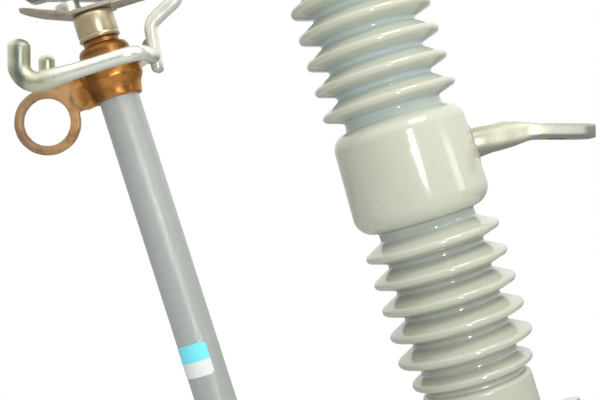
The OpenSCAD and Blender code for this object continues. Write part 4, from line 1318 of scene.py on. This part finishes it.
class CUTOUT_OT_fasteners(bpy.types.Operator):
    """Sets out the bolts and rivets of the top bar and the hinge"""
    bl_idname = "cutout.fasteners"
    bl_label = "Bolts and rivets"

    def execute(self, context):
        h, arm = sizes("hooks"), sizes("holder").arm
        edge = -sizes("insulator").end_d / 2
        foot_back = edge - h.strut_gap
        self.row("strut_bolts_set", "strut_bolts", foot_bolt(0.008), lean_frame(),
                 foot_back - h.strut_foot + 0.013, foot_back - 0.011)
        self.row("bar_rivets_set", "spring_rivets", rivet(0.002), lean_frame(),
                 -arm - 0.023, -arm - 0.009, -arm + 0.028)
        hinge = lean_frame().inverted() @ Vector(frame["joints"][0]["pos_m"])
        self.row("hinge_bolts_set", "hinge_bolts", foot_bolt(0.006), at_bottom(),
                 hinge.x + 0.072, edge - 0.017)
        bolt_r, head_af, head_h = 0.003, 0.0104, 0.005
        shank = turned_mesh([(0.0026, -0.0165), *threaded(bolt_r, -0.016, -0.011, 0.001, 0.0004),
                             (bolt_r, -0.011), (bolt_r, 0.0115)])
        screw = stacked((hexagon(head_af, head_h, chamfer=0.0008), 0.011, 0), (shank, 0, 0),
                        (hexagon(head_af, head_h, 2 * bolt_r, 0.0008), -0.016, 0.3))
        clamp = -sizes("holder").tube_d / 2 - 0.0092
        set_out("clamp_screws_set", "ferrule_screws", SWINGING, screw,
                [(clamp, 0, z) for z in CLAMP_SCREWS], tube_frame(), (math.pi / 2, 0.0, 0.0))
        return {"FINISHED"}

    def row(self, name, node, mesh, place, *reaches):
        """Fasteners on an end's bar, at distances along it."""
        set_out(name, node, FIXED, mesh, [(x, 0, stack_heights()[2]) for x in reaches], place)


# ---- hinge and fuse holder

class CUTOUT_OT_hinge(bpy.types.Operator):
    """Makes the open hinge: a web on the lower bar and two cheeks with saddles"""
    bl_idname = "cutout.hinge"
    bl_label = "Hinge"

    def execute(self, context):
        machined("hinge_bracket", "hinge_web", FIXED, finish("zinc"))
        machined("hinge_cheek_left", "cheek_left", FIXED, finish("zinc"))
        machined("hinge_cheek_right", "cheek_right", FIXED, finish("zinc"))
        return {"FINISHED"}


class CUTOUT_OT_fuse_tube(bpy.types.Operator):
    """Turns the fuse tube and its cap, and wraps the label round the tube"""
    bl_idname = "cutout.fuse_tube"
    bl_label = "Fuse tube"

    def execute(self, context):
        h = sizes("holder")
        r, bore = h.tube_d / 2, h.bore_d / 2
        low, high = trunnion_z() - h.tube_down, h.hook_z + h.tube_up
        profile = [(bore, low + 0.0006), (bore + 0.0006, low), (r - 0.0010, low),
                   (r - 0.0003, low + 0.0003), (r, low + 0.0010)]
        profile += [(r, low + (high - low) * k / 12) for k in range(1, 12)]
        mesh = turned_mesh(profile + [(r, high), (bore, high)], 96, closed=True)
        settle(piece("fuse_tube_coated", mesh, tube_frame(), finish("tube")), SWINGING, "fuse_tube",
               sharp=40)

        # the cap has a groove near its foot and a dished top
        neck, c = h.hook_z + h.cap_foot, h.cap_d / 2
        top = neck + h.cap_h
        profile = [(0, neck + 0.0002)] + [(c - inset, neck + up) for inset, up in (
            (0.0012, 0.0002), (0.0003, 0.0006), (0, 0.0014), (0, 0.0024), (0.0003, 0.0030),
            (0.0003, 0.0036), (0, 0.0042))]
        profile += arc(c - 0.0030, top - 0.0030, 0.0030, 0, 90, 10)
        profile += [(c - 0.0075, top), (c - 0.0082, top - 0.0003), (c - 0.0090, top - 0.0003),
                    (0, top - 0.0002)]
        shown = turned("tube_cap_turned", profile, finish("cap"), tube_frame(), 96)
        settle(shown, SWINGING, "tube_cap", sharp=50)
        self.label(h)
        return {"FINISHED"}

    def label(self, h):
        """A wrapped sheet with rounded corners, just proud of the tube."""
        rows, columns, corner, r = 12, 48, 0.0018, h.tube_d / 2
        start, wrap = math.radians(190), math.radians(109) * r
        mesh = bpy.data.meshes.new("label")
        with Editing(mesh) as work:
            grid = []
            for v in (i / rows for i in range(rows + 1)):
                past = max(corner - min(v, 1 - v) * h.label_h, 0)
                inset = corner - math.sqrt(max(corner ** 2 - past ** 2, 0)) if past else 0.0
                grid.append([work.verts.new((*polar(
                    r + 0.00028, start + (inset + (wrap - 2 * inset) * j / columns) / r),
                    LABEL_LOW + h.label_h * v)) for j in range(columns + 1)])
            for low, high in zip(grid, grid[1:]):
                for j in range(columns):
                    work.faces.new((low[j], low[j + 1], high[j + 1], high[j]))
        shown = piece("tube_label_wrapped", mesh, tube_frame(), finish("label"))
        modified(shown, "SOLIDIFY", thickness=0.0002, offset=-1)
        settle(shown, SWINGING, "tube_label", sharp=40)


class CUTOUT_OT_ferrules(bpy.types.Operator):
    """Casts the upper ferrule with its pull ring, and the lower ferrule with its trunnion"""
    bl_idname = "cutout.ferrules"
    bl_label = "Ferrules"

    def execute(self, context):
        cast("upper_ferrule_cast", "upper_ferrule", SWINGING, finish("bronze"), 0.00065, 14, 0.00016,
             0.004, self.rounded_ring)
        cast("lower_ferrule_cast", "lower_ferrule", SWINGING, finish("aged bronze"), 0.00075, 8,
             0.00014, 0.004)
        return {"FINISHED"}

    def rounded_ring(self, point):
        """Thins the pull ring towards its inner and outer edges, so that its section is nearly round."""
        h = sizes("holder")
        along = tube_frame().inverted() @ point
        across = math.hypot(along.x + h.ring_reach, along.z - h.hook_z + h.ring_drop)
        off = abs(across - (h.ring_d + h.ring_rim) / 2) / (h.ring_rim / 2)
        solid = min(1.0, max(0.0, (along.x + h.ring_reach - 0.004) / 0.012))
        thin = math.sqrt(1.0 - 0.80 * min(off, 1.0) ** 2) if off < 1.6 else 1.0
        along.y *= thin + (1.0 - thin) * solid
        return tube_frame() @ along


class CUTOUT_OT_link_gear(bpy.types.Operator):
    """Makes the lever that throws the fuse link out, its pin and spring, and the link's nut"""
    bl_idname = "cutout.link_gear"
    bl_label = "Link lever and nut"

    def execute(self, context):
        h = sizes("holder")
        cast("link_lever_cast", "link_lever", SWINGING, finish("aged bronze"), 0.0004, 5, 0.00006, 0.003)
        hub_r = (h.trunnion_d + 0.010) / 2
        pivot = tube_frame() @ shift(h.tube_d / 2 + 0.007, 0, trunnion_z() - hub_r - 0.006)
        half, r, edge = 0.0145, 0.0025, 0.0006
        profile = [(0.0, -half), *arc(r - edge, edge - half, edge, -90, 0, 4),
                   *arc(r - edge, half - edge, edge, 0, 90, 4), (0.0, half)]
        pin = turned("lever_pin_turned", profile, finish("hardware"),
                     pivot @ turn_about("X", math.pi / 2), 32)
        settle(pin, SWINGING, "lever_pin")
        shown = once(coil).make("lever_coil", bpy.data.meshes.new("coil_seed"),
                                pivot @ shift(0, 0.0051, 0) @ turn_about("X", -math.pi / 2),
                                Turns=3.0, Radius=0.0040, Height=0.0036, Wire_radius=0.00055,
                                Sides=12, Material=finish("spring"))
        settle(shown, SWINGING, "lever_spring", sharp=60)

        disc = turned_mesh([(0.0076, 0), (0.008, 0.0002), (0.008, 0.0018), (0.0077, 0.002)])
        stud = turned_mesh([(0.004, 0.0), *threaded(0.004, 0.002, 0.0112, 0.00125, 0.0005),
                            (0.0032, 0.012)])
        place = (tube_frame() @ shift(-h.tube_d / 2 - 0.0142, 0, sum(CLAMP_SCREWS) / 2)
                 @ turn_about("Y", -math.pi / 2))
        mesh = stacked((disc, 0, 0), (stud, 0, 0), (hexagon(0.013, 0.006, 0.008, 0.0009), 0.002, 0.15))
        settle(piece("link_nut_set", mesh, place, finish("aged bronze")), SWINGING, "link_nut", sharp=32)
        return {"FINISHED"}


# ---- stage

LAMP_AIM = (-0.16, 0.0, -0.03)
LAMPS = (
    # name, place, width, height, power and colour of each
    ("key_lamp", (0.08, -0.50, 0.66), 0.36, 0.36, 2.6, (1.0, 0.985, 0.95)),
    ("front_lamp", (0.03, -0.76, 0.06), 0.06, 0.10, 2.3, (1.0, 1.0, 1.0)),
    ("side_lamp", (1.02, -0.455, 0.31), 0.30, 0.18, 0.5, (1.0, 0.99, 0.96)),
)


class CUTOUT_OT_stage(bpy.types.Operator):
    """Lays the floor, hangs the lamps and places the camera"""
    bl_idname = "cutout.stage"
    bl_label = "Stage"

    def execute(self, context):
        scene = context.scene
        scene.view_settings.view_transform = "Standard"
        self.world(scene)
        self.floor()
        for name, place, width, height, power, colour in LAMPS:
            lamp = bpy.data.lights.new(name, "AREA")
            lamp.shape = "RECTANGLE"
            lamp.size, lamp.size_y = width, height
            lamp.energy, lamp.color = power, colour
            holder = placed(name, lamp)
            holder.location = place
            aim = Vector(LAMP_AIM) - Vector(place)
            holder.rotation_euler = aim.to_track_quat("-Z", "Y").to_euler()
        lens = bpy.data.cameras.new("camera")
        lens.sensor_width = 36.0
        lens.lens = 66.12
        lens.clip_start = 0.01
        camera = placed("camera", lens)
        camera.location = (-0.1748, -0.750, -0.0512)
        camera.rotation_euler = (math.pi / 2, 0, 0)
        scene.camera = camera
        return {"FINISHED"}

    def world(self, scene):
        """A white room; what mirrors see of it fades towards the camera and down to the floor."""
        world = bpy.data.worlds.new("studio")
        world.use_nodes = True
        nodes = Nodes(world.node_tree)
        nodes.tree.nodes.clear()
        seen, glossy, through = (nodes.add("ShaderNodeLightPath", output=name) for name in (
            "Is Camera Ray", "Is Glossy Ray", "Is Transmission Ray"))
        place = nodes.add("ShaderNodeTexCoord", output="Object")
        across, ahead, up = (nodes.part(place, axis) for axis in "XYZ")
        lit = nodes.step(up * 0.9 + ahead * 0.18 - across * 0.12, -0.24, 0.55,
                         **{"To Min": 0.05, "To Max": 1.35})
        soft = nodes.add("ShaderNodeMapRange", None, {
            "Value": up, "From Min": -1.0, "From Max": 1.0, "To Min": 0.20, "To Max": 0.85})
        ambient, mirrored, plain = (
            nodes.add("ShaderNodeBackground", None, {"Color": colour, "Strength": strength})
            for colour, strength in (((0.96, 0.98, 1.0), soft), ((1, 1, 0.98), lit), ((1, 1, 1), 1.0)))
        shiny = nodes.math("MAXIMUM", glossy, through)
        lighting = nodes.add("ShaderNodeMixShader", None, {0: shiny, 1: ambient, 2: mirrored})
        both = nodes.add("ShaderNodeMixShader", None, {0: seen, 1: lighting, 2: plain})
        nodes.add("ShaderNodeOutputWorld", None, {0: both})
        scene.world = world

    def floor(self):
        mesh = bpy.data.meshes.new("floor")
        with Editing(mesh) as work:
            bmesh.ops.create_circle(work, cap_ends=True, radius=2.3, segments=96)
        f = Finish("pale floor", Roughness=0.9)
        f.surface(Base_Color=f.blend(f.noise(0.02, 4.0, 0.6) * 0.1, colour_of("floor"),
                                     (0.70, 0.70, 0.69)))
        piece("floor", mesh, shift(-0.16, 0, -0.62), f.material)


# ---- panel and registration

OPERATORS = (CUTOUT_OT_insulator, CUTOUT_OT_strap, CUTOUT_OT_hooks, CUTOUT_OT_contact,
             CUTOUT_OT_end_fittings, CUTOUT_OT_fasteners, CUTOUT_OT_hinge, CUTOUT_OT_fuse_tube,
             CUTOUT_OT_ferrules, CUTOUT_OT_link_gear, CUTOUT_OT_stage)
GROUPS = (InsulatorSizes, StrapSizes, HookSizes, HolderSizes, Colours, CutoutSettings)


class CUTOUT_PT_panel(bpy.types.Panel):
    """Lists the cutout's sizes, colours and pieces"""
    bl_idname = "CUTOUT_PT_panel"
    bl_label = "Fuse Cutout"
    bl_space_type = "VIEW_3D"
    bl_region_type = "UI"
    bl_category = "Cutout"

    def draw(self, context):
        settings = context.scene.cutout
        for group in ("insulator", "strap", "hooks", "holder", "colours"):
            box = self.layout.box()
            box.label(text=group.capitalize())
            values = getattr(settings, group)
            for name in values.bl_rna.properties.keys():
                if name not in ("rna_type", "name"):
                    box.prop(values, name)
        for operator in OPERATORS:
            self.layout.operator(operator.bl_idname)


def register():
    for item in (*GROUPS, *OPERATORS, CUTOUT_PT_panel):
        bpy.utils.register_class(item)
    bpy.types.Scene.cutout = PointerProperty(type=CutoutSettings)


def unregister():
    del bpy.types.Scene.cutout
    for item in reversed((*GROUPS, *OPERATORS, CUTOUT_PT_panel)):
        bpy.utils.unregister_class(item)


def main():
    register()
    for operator in OPERATORS:
        group, name = operator.bl_idname.split(".")
        getattr(getattr(bpy.ops, group), name)()


if __name__ == "__main__":
    main()
